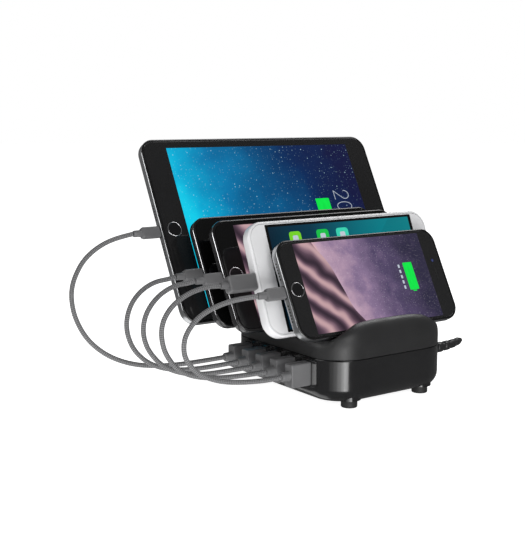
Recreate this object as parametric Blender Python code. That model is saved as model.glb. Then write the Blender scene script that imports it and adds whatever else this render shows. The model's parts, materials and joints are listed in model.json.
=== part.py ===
"""A desktop charging station: a rounded two-part base with five USB ports in a row on its left side,
four dividers that make five leaning bays, five docked display devices with their short charging cables,
and the low-voltage lead with its wall adapter.

Frame: metres, +Z up, +X along the devices, +Y towards the back. The origin is on the table, in the middle
of the footprint that the base and its devices cover together."""
import math
from collections import namedtuple

import bmesh
import bpy
import numpy as np
from mathutils import Matrix, Vector

# ---------------------------------------------------------------- driving dimensions
CLEAR = 0.0003                      # running gap between pieces that touch
WALL = 0.0022                       # wall thickness of the two mouldings

BASE_X, BASE_Y = -0.0023, -0.0231   # centre of the base
BASE_LENGTH = 0.104                 # along X
BASE_DEPTH = 0.121                  # along Y
BASE_CORNER = 0.024
BASE_BOTTOM = 0.0040                # underside above the table
BOTTOM_FILLET = 0.0095
SEAM = 0.0327                       # parting line between the shells
DECK = 0.0451                       # top of the deck between the bays

FOOT_RADIUS = 0.0054
FOOT_HEIGHT = 0.0058
FOOT_X, FOOT_Y = 0.0312, 0.0508      # from the base centre
SCREW_X, SCREW_Y = 0.018, 0.0500    # from the base centre

BAY_PITCH = 0.0215
BAY_1_Y = -0.0726                   # lower front edge of the device in bay 1
REST_LEVEL = 0.0475                 # height of a device's lower front edge
DIVIDER_LEAN = math.radians(19)
DIVIDER_THICK = 0.0030
DIVIDER_LENGTH = 0.088
DIVIDER_HEIGHT = 0.0285             # above the deck, along the divider
DIVIDER_ROOT = 0.0015               # how deep it stands in its slot
DIVIDER_CORNER = 0.012
DIVIDER_1_Y = -0.0600               # front of divider 1 where it leaves the deck

PORT_PITCH = 0.0165
PORT_1_Y = -0.0588                  # port nearest the front
PORT_Z = 0.0228
BEZEL_PROUD = 0.0023                # how far each port's bezel stands out of the wall
PLUG_WIDTH, PLUG_HEIGHT = 0.0080, 0.0155
PLUG_LENGTH = 0.0150                # moulded body outside the bezel
SLEEVE_RADIUS, SLEEVE_LENGTH = 0.0030, 0.0058

CABLE_DIAMETER = 0.0032
LEAD_DIAMETER = 0.0035
JACK_Y, JACK_Z = -0.0586, 0.0239

BOARD_LOW, BOARD_THICK = 0.0142, 0.0016
BOARD_LENGTH, BOARD_DEPTH = 0.097, 0.084

# Left edge; how far back and how high the lower front edge stands from its bay's resting line;
# length, height and thickness; lean from upright in degrees; corner radius.
Device = namedtuple("Device", "name left back rise length height thick lean corner")
DEVICES = (
    Device("phone_1", -0.0710, 0.0000, 0.0000, 0.1387, 0.0676, 0.0076, 27.7, 0.0105),
    Device("phone_2", -0.0790, 0.0010, -0.0013, 0.1570, 0.0775, 0.0085, 22.0, 0.0120),
    Device("phone_3", -0.0887, 0.0000, 0.0000, 0.1605, 0.0788, 0.0073, 27.7, 0.0105),
    Device("phone_4", -0.0905, 0.0000, 0.0000, 0.1605, 0.0792, 0.0073, 27.7, 0.0105),
    Device("tablet", -0.1030, 0.0000, 0.0000, 0.2060, 0.1382, 0.0075, 27.7, 0.0115),
)
HOME_BUTTONS = {"phone_1": (0.0084, 0.0050), "phone_3": (0.0098, 0.0056), "phone_4": (0.0098, 0.0056),
                "tablet": (0.0103, 0.0055)}     # centre from the left edge, radius
SIDE_BUTTON_X = {"phone_3": 0.104, "phone_4": 0.104}
KEY_HALF_LENGTH, KEY_HALF_WIDTH = 0.0055, 0.0010
FRONT_EDGE, BACK_EDGE = 0.0012, 0.0026
RIM = 0.0017                        # outline to the glass recess
GLASS_THICK = 0.0005
RECESS = 0.0008

SMALL_CONNECTOR = dict(width=0.0050, height=0.0080, body=0.0142, sleeve=0.0060)
LARGE_CONNECTOR = dict(width=0.0075, height=0.0110, body=0.0205, sleeve=0.0052)
CONNECTOR_SLEEVE_RADIUS = 0.0024

# The charging cables' routes in X and Z, from the USB plug's sleeve to the connector's sleeve.
CABLE_ROUTES = {
    "phone_1": ((-0.0777, 0.0228), (-0.0860, 0.0226), (-0.1005, 0.0234), (-0.1135, 0.0250), (-0.1235, 0.0274),
                (-0.1325, 0.0311), (-0.1385, 0.0351), (-0.1430, 0.0400), (-0.1458, 0.0455), (-0.1463, 0.0510),
                (-0.1450, 0.0566), (-0.1415, 0.0618), (-0.1370, 0.0660), (-0.1315, 0.0693), (-0.1255, 0.0716),
                (-0.1195, 0.0732), (-0.1125, 0.0745), (-0.1055, 0.0752), (-0.0990, 0.0755)),
    "phone_2": ((-0.0777, 0.0228), (-0.0975, 0.0231), (-0.1155, 0.0243), (-0.1275, 0.0266), (-0.1355, 0.0298),
                (-0.1415, 0.0343), (-0.1458, 0.0399), (-0.1485, 0.0457), (-0.1497, 0.0520), (-0.1495, 0.0580),
                (-0.1475, 0.0638), (-0.1437, 0.0689), (-0.1387, 0.0731), (-0.1327, 0.0763), (-0.1263, 0.0786),
                (-0.1195, 0.0801), (-0.1120, 0.0808)),
    "phone_3": ((-0.0777, 0.0228), (-0.0975, 0.0226), (-0.1155, 0.0229), (-0.1255, 0.0246), (-0.1340, 0.0277),
                (-0.1405, 0.0318), (-0.1453, 0.0371), (-0.1486, 0.0426), (-0.1503, 0.0482), (-0.1506, 0.0537),
                (-0.1495, 0.0592), (-0.1470, 0.0644), (-0.1432, 0.0691), (-0.1385, 0.0731), (-0.1330, 0.0763),
                (-0.1270, 0.0785), (-0.1205, 0.0797), (-0.1145, 0.0801)),
    "phone_4": ((-0.0777, 0.0228), (-0.0945, 0.0224), (-0.1125, 0.0222), (-0.1260, 0.0237), (-0.1345, 0.0264),
                (-0.1405, 0.0298), (-0.1453, 0.0342), (-0.1487, 0.0390), (-0.1508, 0.0443), (-0.1518, 0.0500),
                (-0.1514, 0.0558), (-0.1496, 0.0614), (-0.1466, 0.0666), (-0.1422, 0.0713), (-0.1368, 0.0751),
                (-0.1310, 0.0777), (-0.1245, 0.0793), (-0.1170, 0.0800)),
    "tablet": ((-0.0777, 0.0228), (-0.0990, 0.0223), (-0.1110, 0.0220), (-0.1215, 0.0222), (-0.1325, 0.0232),
               (-0.1425, 0.0253), (-0.1505, 0.0283), (-0.1578, 0.0324), (-0.1640, 0.0376), (-0.1692, 0.0439),
               (-0.1728, 0.0511), (-0.1750, 0.0586), (-0.1756, 0.0662), (-0.1749, 0.0728), (-0.1728, 0.0790),
               (-0.1693, 0.0849), (-0.1643, 0.0910), (-0.1577, 0.0963), (-0.1500, 0.1005), (-0.1415, 0.1036),
               (-0.1330, 0.1055)),
}

BOOT_START, BOOT_LENGTH = 0.0078, 0.0320       # from the wall; along the boot
BOOT_TURN = math.radians(25)        # the boot bends this far towards the back
LEAD_ROUTE = ((0.0891, -0.0514, 0.0239), (0.0911, -0.0505, 0.0238), (0.0930, -0.0488, 0.0233),
              (0.0945, -0.0459, 0.0222), (0.0950, -0.0419, 0.0203), (0.0949, -0.0371, 0.0177),
              (0.0950, -0.0316, 0.0149), (0.0954, -0.0266, 0.0124), (0.0959, -0.0221, 0.0098),
              (0.0964, -0.0181, 0.0070), (0.0968, -0.0143, 0.0044), (0.0972, -0.0106, 0.0024),
              (0.0975, -0.0069, 0.0018))
COIL_X, COIL_Y = 0.0775, 0.0114
COIL_RADIUS = 0.0200                # middle of the turns
COIL_SECTION = 0.0108               # three turns wide and three high
TAIL_ROUTE = ((0.0603, 0.0331, 0.0083), (0.0530, 0.0352, 0.0069), (0.0450, 0.0374, 0.0048),
              (0.0370, 0.0392, 0.0030), (0.0280, 0.0408, 0.0020), (0.0180, 0.0418, 0.0018),
              (0.0080, 0.0430, 0.0018), (-0.0010, 0.0458, 0.0018), (-0.0075, 0.0505, 0.0020),
              (-0.0100, 0.0562, 0.0030), (-0.0080, 0.0618, 0.0048), (-0.0025, 0.0657, 0.0067),
              (0.0040, 0.0672, 0.0078), (0.0082, 0.0674, 0.0080))
ADAPTER_X, ADAPTER_Y = 0.0525, 0.0674
ADAPTER_LENGTH, ADAPTER_DEPTH, ADAPTER_HEIGHT = 0.066, 0.040, 0.028
ADAPTER_CORD_Z = 0.0080
ADAPTER_RELIEF = 0.0110

# Cross-sections of the upper shell, from its lower outer edge over the top to the deck, as
# (distance in from the outline, height above the seam). The rim of the base is blended between
# the plain edge at the sides, the low hood in front and the taller back rest behind.
DECK_RISE = DECK - SEAM
EDGE_OUTSIDE = ((0.0, 0.0), (0.0, 0.0055), (0.0003, 0.0082), (0.0012, 0.0103), (0.0028, 0.0118),
                (0.0046, DECK_RISE), (0.0064, DECK_RISE), (0.0080, DECK_RISE), (0.0096, DECK_RISE))
HOOD_OUTSIDE = ((0.0, 0.0), (0.0, 0.0085), (0.0007, 0.0135), (0.0022, 0.0180), (0.0044, 0.0214),
                (0.0068, 0.0232), (0.0092, 0.0228), (0.0108, 0.0198), (0.0098, DECK_RISE))
REST_OUTSIDE = ((0.0, 0.0), (0.0, 0.0090), (0.0004, 0.0150), (0.0012, 0.0200), (0.0026, 0.0240),
                (0.0046, 0.0266), (0.0068, 0.0274), (0.0090, 0.0262), (0.0160, DECK_RISE))
EDGE_INSIDE = ((0.0026, 0.0018), (0.0026, 0.0060), (0.0029, 0.0080), (0.0038, 0.0084), (0.0050, 0.0086),
               (0.0064, 0.0086), (0.0078, 0.0086), (0.0090, 0.0086))
HOOD_INSIDE = ((0.0026, 0.0018), (0.0026, 0.0090), (0.0032, 0.0138), (0.0044, 0.0176), (0.0058, 0.0198),
               (0.0070, 0.0204), (0.0082, 0.0188), (0.0080, 0.0086))
REST_INSIDE = ((0.0026, 0.0018), (0.0026, 0.0095), (0.0028, 0.0150), (0.0034, 0.0195), (0.0046, 0.0232),
               (0.0060, 0.0246), (0.0074, 0.0234), (0.0126, 0.0086))
HOOD_HALF_SPAN = 0.0475             # from the middle to where the hood meets the plain edge
HOOD_INNER_Y = 0.0098               # depth of the hood at the deck, behind the front wall
REST_INNER_Y = 0.0160
LIP = 0.0008                        # rebate that the lower shell's tongue fits


def make_material(name, colour, roughness, metallic=0.0):
    material = bpy.data.materials.new(name)
    material.use_nodes = True
    shader = material.node_tree.nodes["Principled BSDF"]
    shader.inputs["Base Color"].default_value = (*colour, 1.0)
    shader.inputs["Roughness"].default_value = roughness
    shader.inputs["Metallic"].default_value = metallic
    return material


def make_materials():
    return {
        "matte_black": make_material("matte_black", (0.018, 0.018, 0.019), 0.55),
        "satin_black": make_material("satin_black", (0.014, 0.014, 0.015), 0.28),
        "rubber": make_material("rubber", (0.020, 0.020, 0.020), 0.8),
        "board": make_material("board", (0.02, 0.16, 0.07), 0.45),
        "steel": make_material("steel", (0.56, 0.56, 0.58), 0.3, 1.0),
        "ferrite": make_material("ferrite", (0.09, 0.09, 0.10), 0.6),
        "grey_plastic": make_material("grey_plastic", (0.22, 0.22, 0.23), 0.4),
        "braid": make_material("braid", (0.18, 0.18, 0.19), 0.75),
        "silver": make_material("silver", (0.66, 0.67, 0.69), 0.28, 1.0),
        "graphite": make_material("graphite", (0.035, 0.035, 0.037), 0.35, 0.6),
        "white_plastic": make_material("white_plastic", (0.86, 0.86, 0.86), 0.3),
        "glass": make_material("glass", (0.01, 0.01, 0.012), 0.06),
    }


# ---------------------------------------------------------------- outlines and rings
def rounded_rectangle(width, height, radius, steps=5):
    """Points round a rounded rectangle centred on zero, anticlockwise."""
    points = []
    for quarter, (sx, sy) in enumerate(((1, 1), (-1, 1), (-1, -1), (1, -1))):
        for step in range(steps + 1):
            angle = math.radians(90) * (quarter + step / steps)
            points.append((sx * (width / 2 - radius) + radius * math.cos(angle),
                           sy * (height / 2 - radius) + radius * math.sin(angle)))
    return points


def base_outline(corner_steps=6, side_steps=4):
    """Points and inward normals round the base, at the base's own centre, anticlockwise."""
    outline = []
    half_x = BASE_LENGTH / 2 - BASE_CORNER
    half_y = BASE_DEPTH / 2 - BASE_CORNER
    corners = ((half_x, half_y), (-half_x, half_y), (-half_x, -half_y), (half_x, -half_y))
    for quarter, (cx, cy) in enumerate(corners):
        for step in range(corner_steps + 1):
            angle = math.radians(90) * (quarter + step / corner_steps)
            normal = Vector((-math.cos(angle), -math.sin(angle)))
            outline.append((Vector((cx, cy)) - normal * BASE_CORNER, normal))
        end = outline[-1][0]
        nx, ny = corners[(quarter + 1) % 4]
        start_angle = math.radians(90) * (quarter + 1)
        start = Vector((nx, ny)) + Vector((math.cos(start_angle), math.sin(start_angle))) * BASE_CORNER
        for step in range(1, side_steps):
            outline.append((end.lerp(start, step / side_steps), outline[-1][1].copy()))
    return outline


def base_ring(outline, inset, z):
    return [(BASE_X + p.x + n.x * inset, BASE_Y + p.y + n.y * inset, z) for p, n in outline]


def mesh_object(name, bm, material, smooth_below=32):
    bmesh.ops.recalc_face_normals(bm, faces=bm.faces)
    mesh = bpy.data.meshes.new(name)
    bm.to_mesh(mesh)
    bm.free()
    mesh.materials.append(material)
    mesh.shade_smooth()
    mesh.set_sharp_from_angle(angle=math.radians(smooth_below))
    thing = bpy.data.objects.new(name, mesh)
    bpy.context.collection.objects.link(thing)
    return thing


def ring_mesh(rings):
    """A closed skin through rings of equally many points, capped at both ends."""
    bm = bmesh.new()
    layers = [[bm.verts.new(point) for point in ring] for ring in rings]
    count = len(layers[0])
    for near, far in zip(layers, layers[1:]):
        for i in range(count):
            j = (i + 1) % count
            bm.faces.new((near[i], near[j], far[j], far[i]))
    bm.faces.new(list(reversed(layers[0])))
    bm.faces.new(layers[-1])
    return bm


def ring_solid(name, rings, material):
    return mesh_object(name, ring_mesh(rings), material)


def turned(name, profile, material, place, steps=20, axis="Z"):
    """A solid turned round an axis, from (radius, distance along it) pairs."""
    rings = []
    for radius, along in profile:
        ring = []
        for i in range(steps):
            angle = 2 * math.pi * i / steps
            a, b = radius * math.cos(angle), radius * math.sin(angle)
            point = {"X": (along, a, b), "Y": (a, along, b), "Z": (a, b, along)}[axis]
            ring.append(tuple(Vector(point) + Vector(place)))
        rings.append(ring)
    return ring_solid(name, rings, material)


def stacked(name, sections, place, material):
    """A solid along X through rounded rectangles, each (x, width in Y, height in Z, corner)."""
    rings = []
    for x, width, height, corner in sections:
        outline = rounded_rectangle(width, height, corner, 2)
        rings.append([(place[0] + x, place[1] + y, place[2] + z) for y, z in outline])
    return ring_solid(name, rings, material)


def box(name, low, high, material, bevel=0.0):
    bm = bmesh.new()
    size = Vector(high) - Vector(low)
    centre = (Vector(high) + Vector(low)) / 2
    bmesh.ops.create_cube(bm, size=1.0, matrix=Matrix.Translation(centre) @ Matrix.Diagonal((*size, 1.0)))
    if bevel:
        bmesh.ops.bevel(bm, geom=list(bm.edges), offset=bevel, segments=2, profile=0.5, affect="EDGES",
                        clamp_overlap=True)
    return mesh_object(name, bm, material)


def as_tool(thing):
    thing.hide_render = True
    thing.display_type = "WIRE"
    return thing


def combine(target, tool, operation="DIFFERENCE"):
    """Adds or cuts one solid with a Boolean that stays on the target."""
    as_tool(tool)
    modifier = target.modifiers.new(operation.lower(), "BOOLEAN")
    modifier.operation = operation
    modifier.object = tool
    modifier.solver = "EXACT"


# ---------------------------------------------------------------- the base
def blend_profiles(first, second, share):
    return [(a[0] + (b[0] - a[0]) * share, a[1] + (b[1] - a[1]) * share) for a, b in zip(first, second)]


def rim_share(point):
    """How much of the hood or back rest the rim has at a point: 1 in the middle, 0 at the ends."""
    return max(0.0, 1.0 - (abs(point.x) / HOOD_HALF_SPAN) ** 4)


def rim_profile(point, normal, edge, front, back):
    """The cross-section at one point of the outline."""
    share = rim_share(point)
    if point.y < 0:
        chosen, reach, wall_y = front, HOOD_INNER_Y, -BASE_DEPTH / 2
    else:
        chosen, reach, wall_y = back, REST_INNER_Y, BASE_DEPTH / 2
    profile = blend_profiles(edge, chosen, share)
    if share == 0.0 or abs(normal.y) < 0.2:
        return profile
    room = abs(reach - abs(point.y - wall_y)) / (abs(normal.y) * reach)
    squeeze = min(1.0, max(0.35, room))
    return [(inset * squeeze if i > 1 else inset, rise) for i, (inset, rise) in enumerate(profile)]


def make_upper_shell(materials):
    outline = base_outline()
    outside = [rim_profile(p, n, EDGE_OUTSIDE, HOOD_OUTSIDE, REST_OUTSIDE) for p, n in outline]
    inside = [rim_profile(p, n, EDGE_INSIDE, HOOD_INSIDE, REST_INSIDE) for p, n in outline]
    low = SEAM + CLEAR / 2
    rings = []
    for level in reversed(range(len(EDGE_INSIDE))):
        rings.append([(BASE_X + p.x + n.x * max(WALL + CLEAR, row[level][0]), BASE_Y + p.y
                       + n.y * max(WALL + CLEAR, row[level][0]), SEAM + row[level][1])
                      for (p, n), row in zip(outline, inside)])
    rings.append(base_ring(outline, LIP, SEAM + EDGE_INSIDE[0][1]))
    rings.append(base_ring(outline, LIP, low))
    rings.append(base_ring(outline, 0.0003, low))
    rings.append(base_ring(outline, 0.0, low + 0.0003))
    for level in range(1, len(EDGE_OUTSIDE)):
        rings.append([(BASE_X + p.x + n.x * row[level][0], BASE_Y + p.y + n.y * row[level][0],
                       SEAM + row[level][1]) for (p, n), row in zip(outline, outside)])
    shell = ring_solid("upper_shell", rings, materials["matte_black"])

    for index, (x, y) in enumerate(screw_places()):
        post = turned(f"tool_post_{index}", ((0.0035, 0.0092), (0.0035, SEAM + 0.0098)),
                      materials["matte_black"], (x, y, 0.0), 12)
        combine(shell, post, "UNION")
        pilot = turned(f"tool_pilot_{index}", ((0.0016, 0.0080), (0.0016, 0.0220)),
                       materials["matte_black"], (x, y, 0.0), 12)
        combine(shell, pilot)
    for index, device in enumerate(DEVICES):
        front = rest_point(device, index).y
        low = (BASE_X - BASE_LENGTH, front + 0.0005, groove_floor(device))
        high = (BASE_X + BASE_LENGTH, front + device.thick + 0.0005, DECK + 0.0002)
        groove = box(f"tool_groove_{device.name}", low, high, materials["matte_black"])
        combine(shell, groove)
    for index in range(len(DEVICES) - 1):
        half = DIVIDER_LENGTH / 2 + CLEAR
        slot = box(f"tool_slot_{index}", (-half, -CLEAR, -DIVIDER_ROOT - CLEAR),
                   (half, DIVIDER_THICK + CLEAR, 0.004), materials["matte_black"])
        combine(shell, stand_divider(slot, index))
    return shell


def rest_point(device, index):
    """Where the lower front edge of a docked device is, at its left end."""
    return Vector((device.left, BAY_1_Y + BAY_PITCH * index + device.back, REST_LEVEL + device.rise))


def groove_floor(device):
    """Just under the lowest point of the rounded lower edges of a docked device."""
    lean = math.radians(device.lean)
    lowest = min(radius * (math.cos(lean) - 1) - (depth - radius if depth else radius) * math.sin(lean)
                 for radius, depth in ((FRONT_EDGE, 0.0), (BACK_EDGE, device.thick)))
    return REST_LEVEL + device.rise + lowest - CLEAR


def screw_places():
    return [(BASE_X + sx * SCREW_X, BASE_Y + sy * SCREW_Y) for sx in (-1, 1) for sy in (-1, 1)]


def foot_places():
    return [(BASE_X + sx * FOOT_X, BASE_Y + sy * FOOT_Y) for sx in (-1, 1) for sy in (-1, 1)]


def port_places():
    return [(PORT_1_Y + PORT_PITCH * index, PORT_Z) for index in range(len(DEVICES))]


def stand_divider(thing, index):
    """Puts a divider, or the tool that cuts its slot, at its place in the deck."""
    thing.location = (BASE_X, DIVIDER_1_Y + BAY_PITCH * index, DECK)
    thing.rotation_euler = (-DIVIDER_LEAN, 0.0, 0.0)
    return thing


def divider_ring(y, inset):
    """The divider's outline with its two upper corners rounded."""
    half, high = DIVIDER_LENGTH / 2 - inset, DIVIDER_HEIGHT - inset
    radius = DIVIDER_CORNER - inset
    outline = [(-half, y, -DIVIDER_ROOT), (half, y, -DIVIDER_ROOT)]
    for side, start in ((1, 0), (-1, 90)):
        for step in range(7):
            angle = math.radians(start + 15 * step)
            outline.append((side * (half - radius) + radius * math.cos(angle), y,
                            high - radius + radius * math.sin(angle)))
    return outline


def make_dividers(materials):
    edge = 0.0006
    for index in range(len(DEVICES) - 1):
        rings = [divider_ring(0.0, edge), divider_ring(edge, 0.0), divider_ring(DIVIDER_THICK - edge, 0.0),
                 divider_ring(DIVIDER_THICK, edge)]
        stand_divider(ring_solid(f"divider_{index + 1}", rings, materials["matte_black"]), index)


def make_lower_shell(materials):
    outline = base_outline()
    rings = []
    fillet_steps = 4
    for step in range(fillet_steps + 1):
        angle = math.radians(90) * step / fillet_steps
        rings.append(base_ring(outline, BOTTOM_FILLET * (1 - math.sin(angle)),
                               BASE_BOTTOM + BOTTOM_FILLET * (1 - math.cos(angle))))
    top = SEAM - CLEAR / 2
    rings.append(base_ring(outline, 0.0, top - 0.0003))
    rings.append(base_ring(outline, 0.0003, top))
    tongue = LIP + CLEAR
    rings.append(base_ring(outline, tongue, top))
    rings.append(base_ring(outline, tongue, SEAM + EDGE_INSIDE[0][1] - CLEAR))
    rings.append(base_ring(outline, WALL, SEAM + EDGE_INSIDE[0][1] - CLEAR))
    floor_fillet = BOTTOM_FILLET - WALL
    inner_steps = 3
    for step in reversed(range(inner_steps + 1)):
        angle = math.radians(90) * step / inner_steps
        rings.append(base_ring(outline, WALL + floor_fillet * (1 - math.sin(angle)),
                               BASE_BOTTOM + WALL + floor_fillet * (1 - math.cos(angle))))
    shell = ring_solid("lower_shell", rings, materials["satin_black"])

    wall_x = BASE_X - BASE_LENGTH / 2
    front_x = wall_x - BEZEL_PROUD
    black = materials["satin_black"]
    for index, (y, z) in enumerate(port_places()):
        bezel = stacked(f"tool_bezel_{index}", (
            (front_x, 0.0100, 0.0174, 0.0020), (front_x + 0.0004, 0.0108, 0.0178, 0.0022),
            (wall_x, 0.0138, 0.0190, 0.0030), (wall_x + WALL + 0.0006, 0.0138, 0.0190, 0.0030)),
            (0.0, y, z), black)
        combine(shell, bezel, "UNION")
        pocket = stacked(f"tool_pocket_{index}", (
            (front_x - 0.002, PLUG_WIDTH + 0.0010, PLUG_HEIGHT + 0.0010, 0.0014),
            (front_x + 0.0010, PLUG_WIDTH + 0.0010, PLUG_HEIGHT + 0.0010, 0.0014),
            (front_x + 0.0010, 0.0065, 0.0140, 0.0006), (wall_x + 0.006, 0.0065, 0.0140, 0.0006)),
            (0.0, y, z), black)
        combine(shell, pocket)
    right_x = BASE_X + BASE_LENGTH / 2
    jack_hole = turned("tool_jack_hole", ((0.0043, right_x - 0.006), (0.0043, right_x + 0.006)), black,
                       (0.0, JACK_Y, JACK_Z), 20, "X")
    combine(shell, jack_hole)
    for index, (x, y) in enumerate(foot_places()):
        recess = turned(f"tool_foot_{index}", ((FOOT_RADIUS + CLEAR, 0.0), (FOOT_RADIUS + CLEAR, FOOT_HEIGHT
                        + CLEAR)), black, (x, y, 0.0))
        pad_radius = FOOT_RADIUS + WALL
        pad = turned(f"tool_pad_{index}", ((pad_radius, BASE_BOTTOM + 0.0012),
                                           (pad_radius, FOOT_HEIGHT + WALL)), black, (x, y, 0.0))
        combine(shell, pad, "UNION")
        combine(shell, recess)
    for index, (x, y) in enumerate(screw_places()):
        boss = turned(f"tool_boss_{index}", ((0.0045, BASE_BOTTOM + 0.0010), (0.0045, 0.0088)), black,
                      (x, y, 0.0), 12)
        combine(shell, boss, "UNION")
        hole = turned(f"tool_screw_{index}", ((0.0031, 0.0), (0.0031, 0.0064), (0.0017, 0.0064),
                                              (0.0017, 0.0100)), black, (x, y, 0.0), 12)
        combine(shell, hole)
    for index, (x, y) in enumerate(standoff_places()):
        standoff = turned(f"tool_standoff_{index}", ((0.0030, BASE_BOTTOM + 0.0010),
                                                     (0.0030, BOARD_LOW - CLEAR)), black, (x, y, 0.0), 12)
        combine(shell, standoff, "UNION")
    return shell


def standoff_places():
    return [(BASE_X + sx * 0.036, BASE_Y + sy * 0.032) for sx in (-1, 1) for sy in (-1, 1)]


def make_feet(materials):
    for index, (x, y) in enumerate(foot_places()):
        profile = ((FOOT_RADIUS - 0.0006, 0.0), (FOOT_RADIUS, 0.0006), (FOOT_RADIUS, FOOT_HEIGHT))
        turned(f"foot_{index + 1}", profile, materials["rubber"], (x, y, 0.0))


def make_screws(materials):
    for index, (x, y) in enumerate(screw_places()):
        screw = turned(f"case_screw_{index + 1}", ((0.0024, 0.0040), (0.0027, 0.0044), (0.0027, 0.0061),
                                                   (0.0013, 0.0061), (0.0013, 0.0185), (0.0007, 0.0195)),
                       materials["steel"], (x, y, 0.0), 12)
        for turn in (0, 90):
            slot = box(f"tool_cross_{index}_{turn}", (-0.0016, -0.00035, -0.001), (0.0016, 0.00035, 0.0010),
                       materials["steel"])
            slot.location = (x, y, 0.0040)
            slot.rotation_euler = (0.0, 0.0, math.radians(turn))
            combine(screw, slot)


def make_electronics(materials):
    board_top = BOARD_LOW + BOARD_THICK
    box("main_board", (BASE_X - BOARD_LENGTH / 2, BASE_Y - BOARD_DEPTH / 2, BOARD_LOW),
        (BASE_X + BOARD_LENGTH / 2, BASE_Y + BOARD_DEPTH / 2, board_top), materials["board"])
    box("power_inductor", (BASE_X + 0.006, BASE_Y - 0.006, board_top + CLEAR),
        (BASE_X + 0.018, BASE_Y + 0.006, board_top + 0.0070), materials["ferrite"], 0.0010)
    socket_x = BASE_X - BASE_LENGTH / 2 - BEZEL_PROUD + 0.0014
    for index, (y, z) in enumerate(port_places()):
        stacked(f"usb_socket_{index + 1}", (
            (0.0105, 0.0052, 0.0127, 0.0003), (0.0, 0.0052, 0.0127, 0.0003),
            (0.0, 0.0059, 0.0134, 0.0005), (0.0140, 0.0059, 0.0134, 0.0005)),
            (socket_x, y, z), materials["steel"])
    right_x = BASE_X + BASE_LENGTH / 2
    jack = stacked("dc_jack", ((-0.0140, 0.0095, 0.0110, 0.0008), (-0.0028, 0.0095, 0.0110, 0.0008),
                               (-0.0028, 0.0080, 0.0080, 0.00395), (-0.0004, 0.0080, 0.0080, 0.00395)),
                   (right_x, JACK_Y, JACK_Z), materials["matte_black"])
    barrel = turned("tool_barrel", ((0.0031, -0.0115), (0.0031, 0.004)), materials["matte_black"],
                    (right_x, JACK_Y, JACK_Z), 16, "X")
    combine(jack, barrel)
    leg = box("tool_leg", (right_x - 0.0140, JACK_Y - 0.0040, board_top + CLEAR),
              (right_x - 0.0040, JACK_Y + 0.0040, JACK_Z - 0.0045), materials["matte_black"])
    combine(jack, leg, "UNION")


# ---------------------------------------------------------------- plugs, cables and the supply lead
def make_usb_plugs(materials):
    front_x = BASE_X - BASE_LENGTH / 2 - BEZEL_PROUD
    for index, (y, z) in enumerate(port_places()):
        end = -PLUG_LENGTH
        round_width = 2 * SLEEVE_RADIUS
        stacked(f"usb_plug_{index + 1}", (
            (0.0112, 0.0044, 0.0118, 0.0003), (0.0115, 0.0045, 0.0120, 0.0003),
            (0.0005, 0.0045, 0.0120, 0.0003), (0.0005, PLUG_WIDTH - 0.0006, PLUG_HEIGHT - 0.0006, 0.0010),
            (0.0002, PLUG_WIDTH, PLUG_HEIGHT, 0.0012), (end + 0.0005, PLUG_WIDTH, PLUG_HEIGHT, 0.0012),
            (end, PLUG_WIDTH - 0.0010, PLUG_HEIGHT - 0.0010, 0.0010),
            (end, round_width, round_width, SLEEVE_RADIUS - 0.00005),
            (end - SLEEVE_LENGTH + 0.0004, round_width - 0.0004, round_width - 0.0004,
             SLEEVE_RADIUS - 0.0003),
            (end - SLEEVE_LENGTH, round_width - 0.0012, round_width - 0.0012, SLEEVE_RADIUS - 0.0007)),
            (front_x, y, z), materials["grey_plastic"])


def smooth_curve(points, spacing):
    """Evenly spaced points on a natural cubic spline through the given ones."""
    knots = np.array(points, dtype=float)
    chords = np.linalg.norm(np.diff(knots, axis=0), axis=1)
    at = np.concatenate([[0.0], np.cumsum(chords)])
    count = len(knots)
    system = np.eye(count)
    right = np.zeros_like(knots)
    for i in range(1, count - 1):
        before, after = at[i] - at[i - 1], at[i + 1] - at[i]
        system[i, i - 1:i + 2] = (before, 2 * (before + after), after)
        right[i] = 6 * ((knots[i + 1] - knots[i]) / after - (knots[i] - knots[i - 1]) / before)
    bend = np.linalg.solve(system, right)
    samples = np.linspace(0.0, at[-1], max(2, round(at[-1] / spacing)) + 1)
    curve = []
    for s in samples:
        i = min(max(int(np.searchsorted(at, s)) - 1, 0), count - 2)
        gap = at[i + 1] - at[i]
        u, v = (at[i + 1] - s) / gap, (s - at[i]) / gap
        curve.append(u * knots[i] + v * knots[i + 1]
                     + gap * gap / 6 * ((u ** 3 - u) * bend[i] + (v ** 3 - v) * bend[i + 1]))
    return curve


def tube(name, points, diameter, material):
    curve = bpy.data.curves.new(name, "CURVE")
    curve.dimensions = "3D"
    curve.bevel_depth = diameter / 2
    curve.bevel_resolution = 2
    curve.use_fill_caps = True
    spline = curve.splines.new("POLY")
    spline.points.add(len(points) - 1)
    for knot, point in zip(spline.points, points):
        knot.co = (*point, 1.0)
    curve.materials.append(material)
    thing = bpy.data.objects.new(name, curve)
    bpy.context.collection.objects.link(thing)
    return thing


def cable_route(device, index):
    """The cable's route in space: it swings across from its port to its connector as it rises."""
    start_y = PORT_1_Y + PORT_PITCH * index
    end = connector_end(device, index)
    flat = list(CABLE_ROUTES[device.name]) + [(end.x, end.z)]
    lengths = [0.0]
    for a, b in zip(flat, flat[1:]):
        lengths.append(lengths[-1] + math.dist(a, b))
    route = []
    for (x, z), along in zip(flat, lengths):
        share = along / lengths[-1]
        ease = share * share * (3 - 2 * share)
        route.append((x, start_y + (end.y - start_y) * ease, z))
    return route


def make_cables(materials):
    for index, device in enumerate(DEVICES):
        points = smooth_curve(cable_route(device, index), 2.5 * CABLE_DIAMETER)
        tube(f"charge_cable_{index + 1}", points, CABLE_DIAMETER, materials["braid"])


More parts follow.
